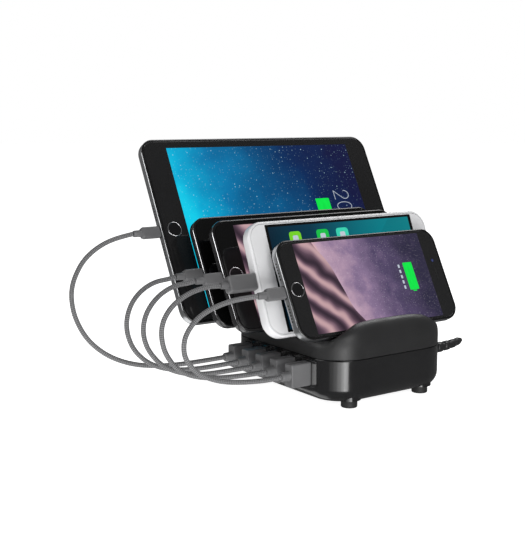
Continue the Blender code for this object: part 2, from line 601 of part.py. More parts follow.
def boot_place(along):
    """Middle and heading of the supply plug, which is straight up to its boot and then bends."""
    straight = min(along, BOOT_START)
    turn = BOOT_TURN * max(0.0, along - BOOT_START) / BOOT_LENGTH
    radius = BOOT_LENGTH / BOOT_TURN
    middle = Vector((BASE_X + BASE_LENGTH / 2 + straight + radius * math.sin(turn),
                     JACK_Y + radius * (1 - math.cos(turn)), JACK_Z))
    return middle, turn


def make_dc_plug(materials):
    profile = [(0.00275, -0.0095), (0.00275, 0.0004), (0.0042, 0.0004), (0.0047, 0.0008), (0.0047, 0.0068),
               (0.0042, 0.0074), (0.0030, BOOT_START)]
    ribs, sides = 4, 14
    pitch = BOOT_LENGTH / ribs
    for rib in range(ribs):
        start = BOOT_START + pitch * rib
        radius = 0.0037 - 0.0003 * rib
        profile += [(0.0027, start + 0.0009), (radius, start + 0.0014), (radius, start + pitch - 0.0008),
                    (0.0027, start + pitch - 0.0002)]
    profile[-1] = (0.0024, BOOT_START + BOOT_LENGTH)
    rings = []
    for radius, along in profile:
        middle, turn = boot_place(along)
        across = Vector((-math.sin(turn), math.cos(turn), 0.0))
        ring = []
        for i in range(sides):
            angle = 2 * math.pi * i / sides
            ring.append(middle + across * radius * math.cos(angle)
                        + Vector((0.0, 0.0, radius * math.sin(angle))))
        rings.append(ring)
    ring_solid("dc_plug", rings, materials["rubber"])


def make_supply_lead(materials):
    tube("dc_lead", smooth_curve(LEAD_ROUTE, 2.5 * LEAD_DIAMETER), LEAD_DIAMETER, materials["rubber"])
    tube("dc_lead_tail", smooth_curve(TAIL_ROUTE, 2.5 * LEAD_DIAMETER), LEAD_DIAMETER, materials["rubber"])
    half = COIL_SECTION / 2
    bm = bmesh.new()
    corners = ((COIL_RADIUS - half, 0.0), (COIL_RADIUS + half, 0.0), (COIL_RADIUS + half, COIL_SECTION),
               (COIL_RADIUS - half, COIL_SECTION))
    steps = 32
    rows = []
    for i in range(steps):
        angle = 2 * math.pi * i / steps
        rows.append([bm.verts.new((COIL_X + r * math.cos(angle), COIL_Y + r * math.sin(angle), z))
                     for r, z in corners])
    for i in range(steps):
        here, there = rows[i], rows[(i + 1) % steps]
        for j in range(4):
            k = (j + 1) % 4
            bm.faces.new((here[j], here[k], there[k], there[j]))
    mesh_object("dc_lead_coil", bm, materials["rubber"])


def make_adapter(materials):
    half_length = ADAPTER_LENGTH / 2
    adapter = []
    for x, trim in ((half_length, 0.003), (half_length - 0.001, 0.001), (half_length - 0.003, 0.0),
                    (-half_length + 0.003, 0.0), (-half_length + 0.001, 0.001), (-half_length, 0.003)):
        outline = rounded_rectangle(ADAPTER_DEPTH - 2 * trim, ADAPTER_HEIGHT - 2 * trim, 0.005 - trim / 2, 5)
        adapter.append([(ADAPTER_X + x, ADAPTER_Y + y, ADAPTER_HEIGHT / 2 + z) for y, z in outline])
    adapter_body = ring_solid("wall_adapter", adapter, materials["matte_black"])
    relief = turned("tool_relief", ((0.0036, -half_length + 0.002), (0.0036, -half_length),
                                    (0.0024, -half_length - ADAPTER_RELIEF)), materials["matte_black"],
                    (ADAPTER_X, ADAPTER_Y, ADAPTER_CORD_Z), 20, "X")
    combine(adapter_body, relief, "UNION")
    end_x = ADAPTER_X + half_length
    carrier_hole = box("tool_carrier", (end_x - 0.004, ADAPTER_Y - 0.0123, 0.0067),
                       (end_x + 0.002, ADAPTER_Y + 0.0123, 0.0213), materials["matte_black"])
    combine(adapter_body, carrier_hole)
    pins = box("adapter_pins", (end_x - 0.0037, ADAPTER_Y - 0.0120, 0.0070),
               (end_x + 0.0006, ADAPTER_Y + 0.0120, 0.0210), materials["steel"])
    for side in (-1, 1):
        blade = box(f"tool_blade_{side}", (end_x - 0.001, ADAPTER_Y + side * 0.00635 - 0.00075, 0.01085),
                    (end_x + 0.0165, ADAPTER_Y + side * 0.00635 + 0.00075, 0.01715), materials["steel"])
        combine(pins, blade, "UNION")


# ---------------------------------------------------------------- the docked devices
def device_frame(device, index):
    frame = bpy.data.objects.new(f"{device.name}_frame", None)
    frame.location = rest_point(device, index)
    frame.rotation_euler = (-math.radians(device.lean), 0.0, 0.0)
    bpy.context.collection.objects.link(frame)
    return frame


def device_point(device, index, x, y, z):
    """A point given along, into and up the device, in the part's frame."""
    turn = Matrix.Rotation(-math.radians(device.lean), 3, "X")
    return rest_point(device, index) + turn @ Vector((x, y, z))


def connector_size(device):
    return LARGE_CONNECTOR if device.name == "phone_2" else SMALL_CONNECTOR


def connector_end(device, index):
    """Where the cable meets the connector's sleeve."""
    size = connector_size(device)
    reach = size["body"] + size["sleeve"] + 3 * CLEAR
    return device_point(device, index, -reach, device.thick / 2, device.height / 2)


def slab_ring(device, inset, y):
    outline = rounded_rectangle(device.length - 2 * inset, device.height - 2 * inset,
                                device.corner - inset, 4)
    return [(device.length / 2 + a, y, device.height / 2 + b) for a, b in outline]


def make_device(device, index, materials):
    finish = {"phone_1": "silver", "phone_2": "white_plastic", "tablet": "silver"}
    frame = device_frame(device, index)

    rings = [slab_ring(device, RIM, RECESS), slab_ring(device, RIM, 0.0)]
    for step in range(3):
        angle = math.radians(45) * step
        rings.append(slab_ring(device, FRONT_EDGE * (1 - math.sin(angle)),
                               FRONT_EDGE * (1 - math.cos(angle))))
    for step in reversed(range(4)):
        angle = math.radians(30) * step
        rings.append(slab_ring(device, BACK_EDGE * (1 - math.sin(angle)),
                               device.thick - BACK_EDGE * (1 - math.cos(angle))))
    case = ring_solid(f"{device.name}_case", rings, materials[finish.get(device.name, "graphite")])
    case.parent = frame

    inset = RIM + CLEAR
    rings = [slab_ring(device, inset, GLASS_THICK), slab_ring(device, inset, 0.0001),
             slab_ring(device, inset + 0.0002, 0.0)]
    glass = ring_solid(f"{device.name}_glass", rings, materials["glass"])
    glass.parent = frame

    middle_y, middle_z = device.thick / 2, device.height / 2
    socket = box(f"tool_port_{device.name}", (-0.002, middle_y - 0.0017, middle_z - 0.0046),
                 (0.0070, middle_y + 0.0017, middle_z + 0.0046), materials["graphite"])
    socket.parent = frame
    combine(case, socket)
    make_connector(device, index, frame, materials)
    if device.name in HOME_BUTTONS:
        make_home_button(device, frame, case, glass, materials)
    if device.name in SIDE_BUTTON_X:
        make_side_button(device, frame, case, materials)


def make_connector(device, index, frame, materials):
    size = connector_size(device)
    width, high, body, sleeve = size["width"], size["height"], size["body"], size["sleeve"]
    collar = 2 * CONNECTOR_SLEEVE_RADIUS
    start, end = -CLEAR, -CLEAR - body
    connector = stacked(f"connector_{index + 1}", (
        (0.0062, 0.0018, 0.0067, 0.0007), (start, 0.0018, 0.0067, 0.0007),
        (start, width - 0.0006, high - 0.0006, 0.0012), (start - 0.0003, width, high, 0.0014),
        (end + 0.0012, width, high, 0.0014), (end, width - 0.0002, high - 0.0018, 0.0013),
        (end, collar, collar, CONNECTOR_SLEEVE_RADIUS - 0.00005),
        (end - sleeve + 0.0004, collar - 0.0003, collar - 0.0003, CONNECTOR_SLEEVE_RADIUS - 0.0002),
        (end - sleeve, collar - 0.0010, collar - 0.0010, CONNECTOR_SLEEVE_RADIUS - 0.0006)),
        (0.0, device.thick / 2, device.height / 2), materials["grey_plastic"])
    connector.parent = frame


def make_home_button(device, frame, case, glass, materials):
    along, radius = HOME_BUTTONS[device.name]
    centre = (along, 0.0, device.height / 2)
    hole = turned(f"tool_home_{device.name}", ((radius + CLEAR, -0.001), (radius + CLEAR, 0.0020)),
                  materials["glass"], centre, 20, "Y")
    hole.parent = frame
    combine(glass, hole)
    combine(case, hole)
    button = turned(f"{device.name}_home_button", ((radius - 0.0009, 0.0002), (radius - 0.0001, 0.00005),
                                                   (radius, 0.0002), (radius, 0.0012)),
                    materials["glass"], centre, 20, "Y")
    button.parent = frame


def make_side_button(device, frame, case, materials):
    """A long key in the upper edge, which presses down into the case."""
    top, middle, centre = device.height, device.thick / 2, SIDE_BUTTON_X[device.name]
    half, side = KEY_HALF_LENGTH, KEY_HALF_WIDTH
    well = box(f"tool_key_{device.name}", (centre - half - CLEAR, middle - side - CLEAR, top - 0.0022),
               (centre + half + CLEAR, middle + side + CLEAR, top + 0.0020), materials["graphite"])
    well.parent = frame
    combine(case, well)
    key = box(f"{device.name}_side_button", (centre - half, middle - side, top - 0.0015),
              (centre + half, middle + side, top + 0.0004), materials["graphite"], 0.0003)
    key.parent = frame


def build():
    for thing in list(bpy.data.objects):
        bpy.data.objects.remove(thing)
    materials = make_materials()
    make_lower_shell(materials)
    make_upper_shell(materials)
    make_feet(materials)
    make_dividers(materials)
    make_screws(materials)
    make_electronics(materials)
    make_usb_plugs(materials)
    for index, device in enumerate(DEVICES):
        make_device(device, index, materials)
    make_cables(materials)
    make_dc_plug(materials)
    make_supply_lead(materials)
    make_adapter(materials)
    bpy.context.view_layer.update()


build()
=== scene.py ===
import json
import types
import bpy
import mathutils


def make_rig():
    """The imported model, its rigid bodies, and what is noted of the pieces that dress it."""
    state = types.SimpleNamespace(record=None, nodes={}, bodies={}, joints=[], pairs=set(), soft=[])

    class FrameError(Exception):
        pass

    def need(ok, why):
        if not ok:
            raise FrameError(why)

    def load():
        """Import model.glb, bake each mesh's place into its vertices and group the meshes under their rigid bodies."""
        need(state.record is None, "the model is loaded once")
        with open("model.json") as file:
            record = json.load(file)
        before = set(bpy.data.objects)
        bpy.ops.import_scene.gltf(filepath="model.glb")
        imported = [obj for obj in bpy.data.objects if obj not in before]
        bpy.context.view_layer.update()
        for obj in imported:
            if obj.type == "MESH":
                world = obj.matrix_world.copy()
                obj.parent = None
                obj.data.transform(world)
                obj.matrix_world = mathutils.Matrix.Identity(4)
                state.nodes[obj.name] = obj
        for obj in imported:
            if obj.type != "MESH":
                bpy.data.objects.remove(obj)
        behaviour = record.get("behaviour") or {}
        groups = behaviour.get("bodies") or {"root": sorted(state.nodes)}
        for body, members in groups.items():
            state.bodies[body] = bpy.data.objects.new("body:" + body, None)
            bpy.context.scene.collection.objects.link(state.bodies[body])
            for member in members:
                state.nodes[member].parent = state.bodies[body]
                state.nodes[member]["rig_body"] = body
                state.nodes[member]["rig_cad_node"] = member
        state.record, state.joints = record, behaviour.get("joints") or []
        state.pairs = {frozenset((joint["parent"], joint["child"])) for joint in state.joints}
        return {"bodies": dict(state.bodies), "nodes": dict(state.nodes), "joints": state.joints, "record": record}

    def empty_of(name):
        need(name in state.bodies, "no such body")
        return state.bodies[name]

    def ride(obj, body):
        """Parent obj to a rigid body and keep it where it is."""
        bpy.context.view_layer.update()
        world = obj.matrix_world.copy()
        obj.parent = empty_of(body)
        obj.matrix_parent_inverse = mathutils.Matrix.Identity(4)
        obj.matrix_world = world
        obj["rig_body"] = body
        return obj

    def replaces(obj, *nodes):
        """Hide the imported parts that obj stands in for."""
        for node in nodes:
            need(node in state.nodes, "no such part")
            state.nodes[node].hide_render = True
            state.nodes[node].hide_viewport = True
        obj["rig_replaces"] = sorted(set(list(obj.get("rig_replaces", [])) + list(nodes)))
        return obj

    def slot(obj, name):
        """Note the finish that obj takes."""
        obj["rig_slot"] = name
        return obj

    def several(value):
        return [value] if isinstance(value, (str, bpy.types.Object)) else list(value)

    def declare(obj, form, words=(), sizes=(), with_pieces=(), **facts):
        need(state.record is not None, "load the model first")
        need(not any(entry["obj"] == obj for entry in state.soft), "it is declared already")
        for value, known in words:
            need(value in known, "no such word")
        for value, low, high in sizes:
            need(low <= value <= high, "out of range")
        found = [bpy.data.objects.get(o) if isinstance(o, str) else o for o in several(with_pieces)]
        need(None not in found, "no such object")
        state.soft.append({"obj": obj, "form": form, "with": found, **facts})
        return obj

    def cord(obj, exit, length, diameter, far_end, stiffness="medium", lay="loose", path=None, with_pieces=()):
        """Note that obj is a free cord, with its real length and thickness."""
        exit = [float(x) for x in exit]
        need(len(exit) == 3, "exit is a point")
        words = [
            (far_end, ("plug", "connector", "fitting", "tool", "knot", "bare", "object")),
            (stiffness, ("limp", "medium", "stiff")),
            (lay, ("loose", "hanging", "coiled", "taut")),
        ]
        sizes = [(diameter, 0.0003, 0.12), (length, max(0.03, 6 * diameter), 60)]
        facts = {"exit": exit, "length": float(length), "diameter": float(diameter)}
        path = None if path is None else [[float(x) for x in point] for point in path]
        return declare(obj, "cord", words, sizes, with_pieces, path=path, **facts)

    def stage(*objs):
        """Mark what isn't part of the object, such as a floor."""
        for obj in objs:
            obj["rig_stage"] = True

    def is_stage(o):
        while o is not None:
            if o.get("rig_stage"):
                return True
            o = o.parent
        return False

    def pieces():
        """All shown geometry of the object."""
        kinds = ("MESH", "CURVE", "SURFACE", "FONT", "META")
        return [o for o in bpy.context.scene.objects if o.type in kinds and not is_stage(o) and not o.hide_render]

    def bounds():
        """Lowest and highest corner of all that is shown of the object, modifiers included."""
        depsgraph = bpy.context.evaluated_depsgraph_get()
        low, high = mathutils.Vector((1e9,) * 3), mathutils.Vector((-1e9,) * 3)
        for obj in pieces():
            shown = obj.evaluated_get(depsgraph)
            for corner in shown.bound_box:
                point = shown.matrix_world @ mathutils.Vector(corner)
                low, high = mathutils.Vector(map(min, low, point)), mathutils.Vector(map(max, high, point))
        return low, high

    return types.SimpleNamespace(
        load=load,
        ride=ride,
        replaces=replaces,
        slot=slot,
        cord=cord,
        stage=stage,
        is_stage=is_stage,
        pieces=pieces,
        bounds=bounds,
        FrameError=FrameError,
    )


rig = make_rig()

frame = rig.load()
cad_low, cad_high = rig.bounds()

# The charging station with its five docked display devices, their cables and the supply lead,
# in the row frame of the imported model: metres, +X along the devices, +Y towards the back.
import json
import math
from collections import namedtuple

import bmesh
import bpy
import numpy as np
from mathutils import Matrix, Vector

CLEAR = 0.0003                      # running gap between pieces that touch
WALL = 0.0022

BASE_X, BASE_Y = -0.0023, -0.0231   # centre of the base
BASE_LENGTH = 0.104                 # along X
BASE_DEPTH = 0.121                  # along Y
BASE_CORNER = 0.024
BASE_BOTTOM = 0.0040                # underside above the table
BOTTOM_FILLET = 0.0095
SEAM = 0.0327                       # parting line between the shells
DECK = 0.0451                       # top of the deck between the bays

FOOT_RADIUS = 0.0054
FOOT_HEIGHT = 0.0058
FOOT_X, FOOT_Y = 0.0312, 0.0508      # from the base centre
SCREW_X, SCREW_Y = 0.018, 0.0500    # from the base centre

BAY_PITCH = 0.0215
BAY_1_Y = -0.0726                   # lower front edge of the device in bay 1
REST_LEVEL = 0.0475                 # height of a device's lower front edge
DIVIDER_LEAN = math.radians(19)
DIVIDER_THICK = 0.0030
DIVIDER_LENGTH = 0.088
DIVIDER_ROOT = 0.0015               # how deep it stands in its slot
DIVIDER_1_Y = -0.0600               # front of divider 1 where it leaves the deck

PORT_PITCH = 0.0165
PORT_1_Y = -0.0588                  # port nearest the front
PORT_Z = 0.0228
BEZEL_PROUD = 0.0023                # how far each port's bezel stands out of the wall
PLUG_WIDTH, PLUG_HEIGHT = 0.0080, 0.0155
PLUG_LENGTH = 0.0150                # moulded body outside the bezel
SLEEVE_RADIUS, SLEEVE_LENGTH = 0.0030, 0.0058

CABLE_DIAMETER = 0.0032
LEAD_DIAMETER = 0.0035
JACK_Y, JACK_Z = -0.0586, 0.0239

# Left edge; how far back and how high the lower front edge stands from its bay's resting line;
# length, height and thickness; lean from upright in degrees; corner radius.
Device = namedtuple("Device", "name left back rise length height thick lean corner")
DEVICES = (
    Device("phone_1", -0.0710, 0.0000, 0.0000, 0.1387, 0.0676, 0.0076, 27.7, 0.0105),
    Device("phone_2", -0.0790, 0.0010, -0.0013, 0.1570, 0.0775, 0.0085, 22.0, 0.0120),
    Device("phone_3", -0.0887, 0.0000, 0.0000, 0.1605, 0.0788, 0.0073, 27.7, 0.0105),
    Device("phone_4", -0.0905, 0.0000, 0.0000, 0.1605, 0.0792, 0.0073, 27.7, 0.0105),
    Device("tablet", -0.1030, 0.0000, 0.0000, 0.2060, 0.1382, 0.0075, 27.7, 0.0115),
)
HOME_BUTTONS = {"phone_1": (0.0084, 0.0050), "phone_3": (0.0098, 0.0056), "phone_4": (0.0098, 0.0056),
                "tablet": (0.0103, 0.0055)}     # centre from the left edge, radius
SIDE_BUTTON_X = {"phone_3": 0.104, "phone_4": 0.104}
KEY_HALF_LENGTH, KEY_HALF_WIDTH = 0.0055, 0.0010
FRONT_EDGE, BACK_EDGE = 0.0012, 0.0026
RIM = 0.0017                        # outline to the glass recess
GLASS_THICK = 0.0005
RECESS = 0.0008

SMALL_CONNECTOR = dict(width=0.0050, height=0.0080, body=0.0142, sleeve=0.0060)
LARGE_CONNECTOR = dict(width=0.0075, height=0.0110, body=0.0205, sleeve=0.0052)
CONNECTOR_SLEEVE_RADIUS = 0.0024

# The charging cables' routes in X and Z, from the USB plug's sleeve to the connector's sleeve.
CABLE_ROUTES = {
    "phone_1": ((-0.0777, 0.0228), (-0.0860, 0.0226), (-0.1005, 0.0234), (-0.1135, 0.0250), (-0.1235, 0.0274),
                (-0.1325, 0.0311), (-0.1385, 0.0351), (-0.1430, 0.0400), (-0.1458, 0.0455), (-0.1463, 0.0510),
                (-0.1450, 0.0566), (-0.1415, 0.0618), (-0.1370, 0.0660), (-0.1315, 0.0693), (-0.1255, 0.0716),
                (-0.1195, 0.0732), (-0.1125, 0.0745), (-0.1055, 0.0752), (-0.0990, 0.0755)),
    "phone_2": ((-0.0777, 0.0228), (-0.0975, 0.0231), (-0.1155, 0.0243), (-0.1275, 0.0266), (-0.1355, 0.0298),
                (-0.1415, 0.0343), (-0.1458, 0.0399), (-0.1485, 0.0457), (-0.1497, 0.0520), (-0.1495, 0.0580),
                (-0.1475, 0.0638), (-0.1437, 0.0689), (-0.1387, 0.0731), (-0.1327, 0.0763), (-0.1263, 0.0786),
                (-0.1195, 0.0801), (-0.1120, 0.0808)),
    "phone_3": ((-0.0777, 0.0228), (-0.0975, 0.0226), (-0.1155, 0.0229), (-0.1255, 0.0246), (-0.1340, 0.0277),
                (-0.1405, 0.0318), (-0.1453, 0.0371), (-0.1486, 0.0426), (-0.1503, 0.0482), (-0.1506, 0.0537),
                (-0.1495, 0.0592), (-0.1470, 0.0644), (-0.1432, 0.0691), (-0.1385, 0.0731), (-0.1330, 0.0763),
                (-0.1270, 0.0785), (-0.1205, 0.0797), (-0.1145, 0.0801)),
    "phone_4": ((-0.0777, 0.0228), (-0.0945, 0.0224), (-0.1125, 0.0222), (-0.1260, 0.0237), (-0.1345, 0.0264),
                (-0.1405, 0.0298), (-0.1453, 0.0342), (-0.1487, 0.0390), (-0.1508, 0.0443), (-0.1518, 0.0500),
                (-0.1514, 0.0558), (-0.1496, 0.0614), (-0.1466, 0.0666), (-0.1422, 0.0713), (-0.1368, 0.0751),
                (-0.1310, 0.0777), (-0.1245, 0.0793), (-0.1170, 0.0800)),
    "tablet": ((-0.0777, 0.0228), (-0.0990, 0.0223), (-0.1110, 0.0220), (-0.1215, 0.0222), (-0.1325, 0.0232),
               (-0.1425, 0.0253), (-0.1505, 0.0283), (-0.1578, 0.0324), (-0.1640, 0.0376), (-0.1692, 0.0439),
               (-0.1728, 0.0511), (-0.1750, 0.0586), (-0.1756, 0.0662), (-0.1749, 0.0728), (-0.1728, 0.0790),
               (-0.1693, 0.0849), (-0.1643, 0.0910), (-0.1577, 0.0963), (-0.1500, 0.1005), (-0.1415, 0.1036),
               (-0.1330, 0.1055)),
}

BOOT_START, BOOT_LENGTH = 0.0078, 0.0320       # from the wall; along the boot
BOOT_TURN = math.radians(25)        # the boot bends this far towards the back
LEAD_ROUTE = ((0.0891, -0.0514, 0.0239), (0.0911, -0.0505, 0.0238), (0.0930, -0.0488, 0.0233),
              (0.0945, -0.0459, 0.0222), (0.0950, -0.0419, 0.0203), (0.0949, -0.0371, 0.0177),
              (0.0950, -0.0316, 0.0149), (0.0954, -0.0266, 0.0124), (0.0959, -0.0221, 0.0098),
              (0.0964, -0.0181, 0.0070), (0.0968, -0.0143, 0.0044), (0.0972, -0.0106, 0.0024),
              (0.0975, -0.0069, 0.0018))
COIL_X, COIL_Y = 0.0775, 0.0114
TAIL_ROUTE = ((0.0603, 0.0331, 0.0083), (0.0530, 0.0352, 0.0069), (0.0450, 0.0374, 0.0048),
              (0.0370, 0.0392, 0.0030), (0.0280, 0.0408, 0.0020), (0.0180, 0.0418, 0.0018),
              (0.0080, 0.0430, 0.0018), (-0.0010, 0.0458, 0.0018), (-0.0075, 0.0505, 0.0020),
              (-0.0100, 0.0562, 0.0030), (-0.0080, 0.0618, 0.0048), (-0.0025, 0.0657, 0.0067),
              (0.0040, 0.0672, 0.0078), (0.0082, 0.0674, 0.0080))
ADAPTER_X, ADAPTER_Y = 0.0525, 0.0674
ADAPTER_LENGTH, ADAPTER_DEPTH, ADAPTER_HEIGHT = 0.066, 0.040, 0.028
ADAPTER_CORD_Z = 0.0080
ADAPTER_RELIEF = 0.0110

# Cross-sections of the upper shell, from its lower outer edge over the top to the deck, as
# (distance in from the outline, height above the seam). The rim of the base is blended between
# the plain edge at the sides, the low hood in front and the taller back rest behind.
DECK_RISE = DECK - SEAM
EDGE_OUTSIDE = ((0.0, 0.0), (0.0, 0.0055), (0.0003, 0.0082), (0.0012, 0.0103), (0.0028, 0.0118),
                (0.0046, DECK_RISE), (0.0064, DECK_RISE), (0.0080, DECK_RISE), (0.0096, DECK_RISE))
HOOD_OUTSIDE = ((0.0, 0.0), (0.0, 0.0085), (0.0007, 0.0135), (0.0022, 0.0180), (0.0044, 0.0214),
                (0.0068, 0.0232), (0.0092, 0.0228), (0.0108, 0.0198), (0.0098, DECK_RISE))
REST_OUTSIDE = ((0.0, 0.0), (0.0, 0.0090), (0.0004, 0.0150), (0.0012, 0.0200), (0.0026, 0.0240),
                (0.0046, 0.0266), (0.0068, 0.0274), (0.0090, 0.0262), (0.0160, DECK_RISE))
EDGE_INSIDE = ((0.0026, 0.0018), (0.0026, 0.0060), (0.0029, 0.0080), (0.0038, 0.0084), (0.0050, 0.0086),
               (0.0064, 0.0086), (0.0078, 0.0086), (0.0090, 0.0086))
HOOD_INSIDE = ((0.0026, 0.0018), (0.0026, 0.0090), (0.0032, 0.0138), (0.0044, 0.0176), (0.0058, 0.0198),
               (0.0070, 0.0204), (0.0082, 0.0188), (0.0080, 0.0086))
REST_INSIDE = ((0.0026, 0.0018), (0.0026, 0.0095), (0.0028, 0.0150), (0.0034, 0.0195), (0.0046, 0.0232),
               (0.0060, 0.0246), (0.0074, 0.0234), (0.0126, 0.0086))
HOOD_HALF_SPAN = 0.0475             # from the middle to where the hood meets the plain edge
HOOD_INNER_Y = 0.0098               # depth of the hood at the deck, behind the front wall
REST_INNER_Y = 0.0160
LIP = 0.0008                        # rebate that the lower shell's tongue fits


# ---------------------------------------------------------------- camera
CAMERA_PLACE = (-0.4455, -0.5631, 0.1873)
CAMERA_AZIMUTH, CAMERA_ELEVATION = -0.612, 0.157     # round Z from the front; above the table
CAMERA_LENS, CAMERA_SENSOR = 66.38, 36.0


def make_camera():
    camera = bpy.data.objects.new("camera", bpy.data.cameras.new("camera"))
    bpy.context.scene.collection.objects.link(camera)
    level = math.cos(CAMERA_ELEVATION)
    back = Vector((math.sin(CAMERA_AZIMUTH) * level, -math.cos(CAMERA_AZIMUTH) * level,
                   math.sin(CAMERA_ELEVATION)))
    camera.location = CAMERA_PLACE
    camera.rotation_mode = "QUATERNION"
    camera.rotation_quaternion = back.to_track_quat("Z", "Y")
    camera.data.lens = CAMERA_LENS
    camera.data.sensor_width = CAMERA_SENSOR
    camera.data.clip_start, camera.data.clip_end = 0.01, 50.0
    bpy.context.scene.camera = camera


# ---------------------------------------------------------------- materials
def add(tree, kind, inputs=(), **settings):
    """A node with its settings; an input's value may be another node's output."""
    made = tree.nodes.new(kind)
    for key, value in settings.items():
        setattr(made, key, value)
    for socket, value in dict(inputs).items():
        if isinstance(value, bpy.types.NodeSocket):
            tree.links.new(value, made.inputs[socket])
        else:
            made.inputs[socket].default_value = value
    return made


def new_material(name, sockets):
    """A material with these values on its shader's sockets, and its node tree and shader."""
    material = bpy.data.materials.new(name)
    material.use_nodes = True
    shader = material.node_tree.nodes["Principled BSDF"]
    for socket, value in sockets.items():
        shader.inputs[socket].default_value = value
    return material, material.node_tree, shader


def reopen(material):
    return material.node_tree, material.node_tree.nodes["Principled BSDF"]


def math_node(tree, operation, *values, clamp=False):
    return add(tree, "ShaderNodeMath", dict(enumerate(values)), operation=operation,
               use_clamp=clamp).outputs[0]


def pull(tree, value, middle, share, base):
    """The base, moved by a share of how far a value is from the middle."""
    return math_node(tree, "MULTIPLY_ADD", math_node(tree, "SUBTRACT", value, middle), share, base)


def mix_colour(tree, share, first, second):
    return add(tree, "ShaderNodeMix", {0: share, 6: first, 7: second}, data_type="RGBA").outputs[2]


def noise(tree, place, scale, detail=3.0, roughness=0.5):
    return add(tree, "ShaderNodeTexNoise", {"Vector": place, "Scale": scale, "Detail": detail,
                                            "Roughness": roughness}).outputs["Fac"]


def spread(tree, value, low, high):
    """Carries a noise value's useful range over to low .. high."""
    return add(tree, "ShaderNodeMapRange", {"Value": value, "From Min": 0.3, "From Max": 0.7,
                                            "To Min": low, "To Max": high}).outputs[0]


def place_node(tree, kind):
    return add(tree, "ShaderNodeTexCoord").outputs[kind]


def scaled(tree, place, scale):
    return add(tree, "ShaderNodeMapping", {"Vector": place, "Scale": scale}).outputs[0]


def across_and_up(tree, place):
    axes = add(tree, "ShaderNodeSeparateXYZ", {0: place})
    return axes.outputs[0], axes.outputs[1]


def bump(tree, height, strength, distance):
    return add(tree, "ShaderNodeBump", {"Height": height, "Strength": strength,
                                        "Distance": distance}).outputs[0]


def surface(name, colour, roughness, metallic=0.0, tint=0.12, vary=0.06, grain=2600.0, depth=0.00003,
            strength=0.25, **sockets):
    """A moulded, painted or anodised surface: its colour and polish drift slowly, under a fine grain."""
    values = {"Metallic": metallic}
    values.update({socket.replace("_", " "): value for socket, value in sockets.items()})
    material, tree, shader = new_material(name, values)
    place = place_node(tree, "Object")
    dark = tuple(c * (1 - tint) for c in colour) + (1.0,)
    light = tuple(min(1.0, c * (1 + tint)) for c in colour) + (1.0,)
    drift = spread(tree, noise(tree, place, 45.0), 0.0, 1.0)
    tree.links.new(mix_colour(tree, drift, dark, light), shader.inputs["Base Color"])
    polish = spread(tree, noise(tree, place, 160.0, 4.0), roughness - vary, roughness + vary)
    tree.links.new(polish, shader.inputs["Roughness"])
    fine = noise(tree, place, grain, 2.0, 0.6)
    tree.links.new(bump(tree, fine, strength, depth), shader.inputs["Normal"])
    return material


def brushed(name, colour, roughness):
    """Drawn metal: fine scratches along X."""
    material = surface(name, colour, roughness, 1.0, tint=0.06, vary=0.08)
    tree, shader = reopen(material)
    stretched = scaled(tree, place_node(tree, "Object"), (60.0, 2400.0, 2400.0))
    scratch = noise(tree, stretched, 1.0, 2.0)
    tree.links.new(bump(tree, scratch, 0.3, 0.00002), shader.inputs["Normal"])
    return material


STRAND_PITCH = 0.0026               # along the cable
STRANDS_ROUND = 5


def braid(name, colour, roughness):
    """A woven sleeve: two families of strands cross diagonally, read from the tube's own UVs."""
    material = surface(name, colour, roughness)
    tree, shader = reopen(material)
    u, v = across_and_up(tree, place_node(tree, "UV"))
    along = math_node(tree, "MULTIPLY", u, 2 * math.pi / STRAND_PITCH)
    around = math_node(tree, "MULTIPLY", v, 2 * math.pi * STRANDS_ROUND)
    one = math_node(tree, "SINE", math_node(tree, "ADD", along, around))
    other = math_node(tree, "SINE", math_node(tree, "SUBTRACT", along, around))
    weave = math_node(tree, "MULTIPLY_ADD", math_node(tree, "MULTIPLY", one, other), 0.5, 0.5)
    dark, light = (0.022, 0.022, 0.023, 1.0), (0.270, 0.270, 0.276, 1.0)
    tree.links.new(mix_colour(tree, weave, dark, light), shader.inputs["Base Color"])
    threads = math_node(tree, "SINE", math_node(tree, "MULTIPLY", math_node(tree, "ADD", along, around), 4.0))
    height = math_node(tree, "MULTIPLY_ADD", threads, 0.12, weave)
    tree.links.new(bump(tree, height, 0.8, 0.00018), shader.inputs["Normal"])
    return material


def circuit_board(name, colour, roughness):
    """Solder mask with copper tracks under it and tinned pads."""
    material = surface(name, colour, roughness)
    tree, shader = reopen(material)
    place = place_node(tree, "Object")
    tracks = add(tree, "ShaderNodeTexBrick", {"Vector": place, "Scale": 160.0, "Mortar Size": 0.03,
                                              "Color1": (0.010, 0.090, 0.036, 1.0),
                                              "Color2": (0.018, 0.125, 0.052, 1.0),
                                              "Mortar": (0.050, 0.240, 0.100, 1.0)})
    cells = add(tree, "ShaderNodeTexVoronoi", {"Vector": place, "Scale": 260.0})
    pads = math_node(tree, "LESS_THAN", cells.outputs["Distance"], 0.16)
    tree.links.new(mix_colour(tree, pads, tracks.outputs[0], (0.62, 0.62, 0.58, 1.0)),
                   shader.inputs["Base Color"])
    return material


def cover_glass(name, colour, roughness):
    """Polished cover glass, black or dark grey behind, with the faintest smears on it."""
    return surface(name, colour, roughness, tint=0.05, vary=0.02, grain=220.0, depth=0.00001, strength=0.05,
                   Specular_IOR_Level=0.42)


def glowing(name, paint):
    """A lit display behind glass: paint returns the picture's colour from its own 0 to 1 plane."""
    material, tree, shader = new_material(name, {"Base Color": (0.004, 0.004, 0.005, 1.0),
                                                 "Specular IOR Level": 0.30, "Emission Strength": 1.0})
    place = place_node(tree, "UV")
    tree.links.new(paint(tree, place), shader.inputs["Emission Color"])
    smear = spread(tree, noise(tree, place, 9.0), 0.06, 0.11)
    tree.links.new(smear, shader.inputs["Roughness"])
    return material


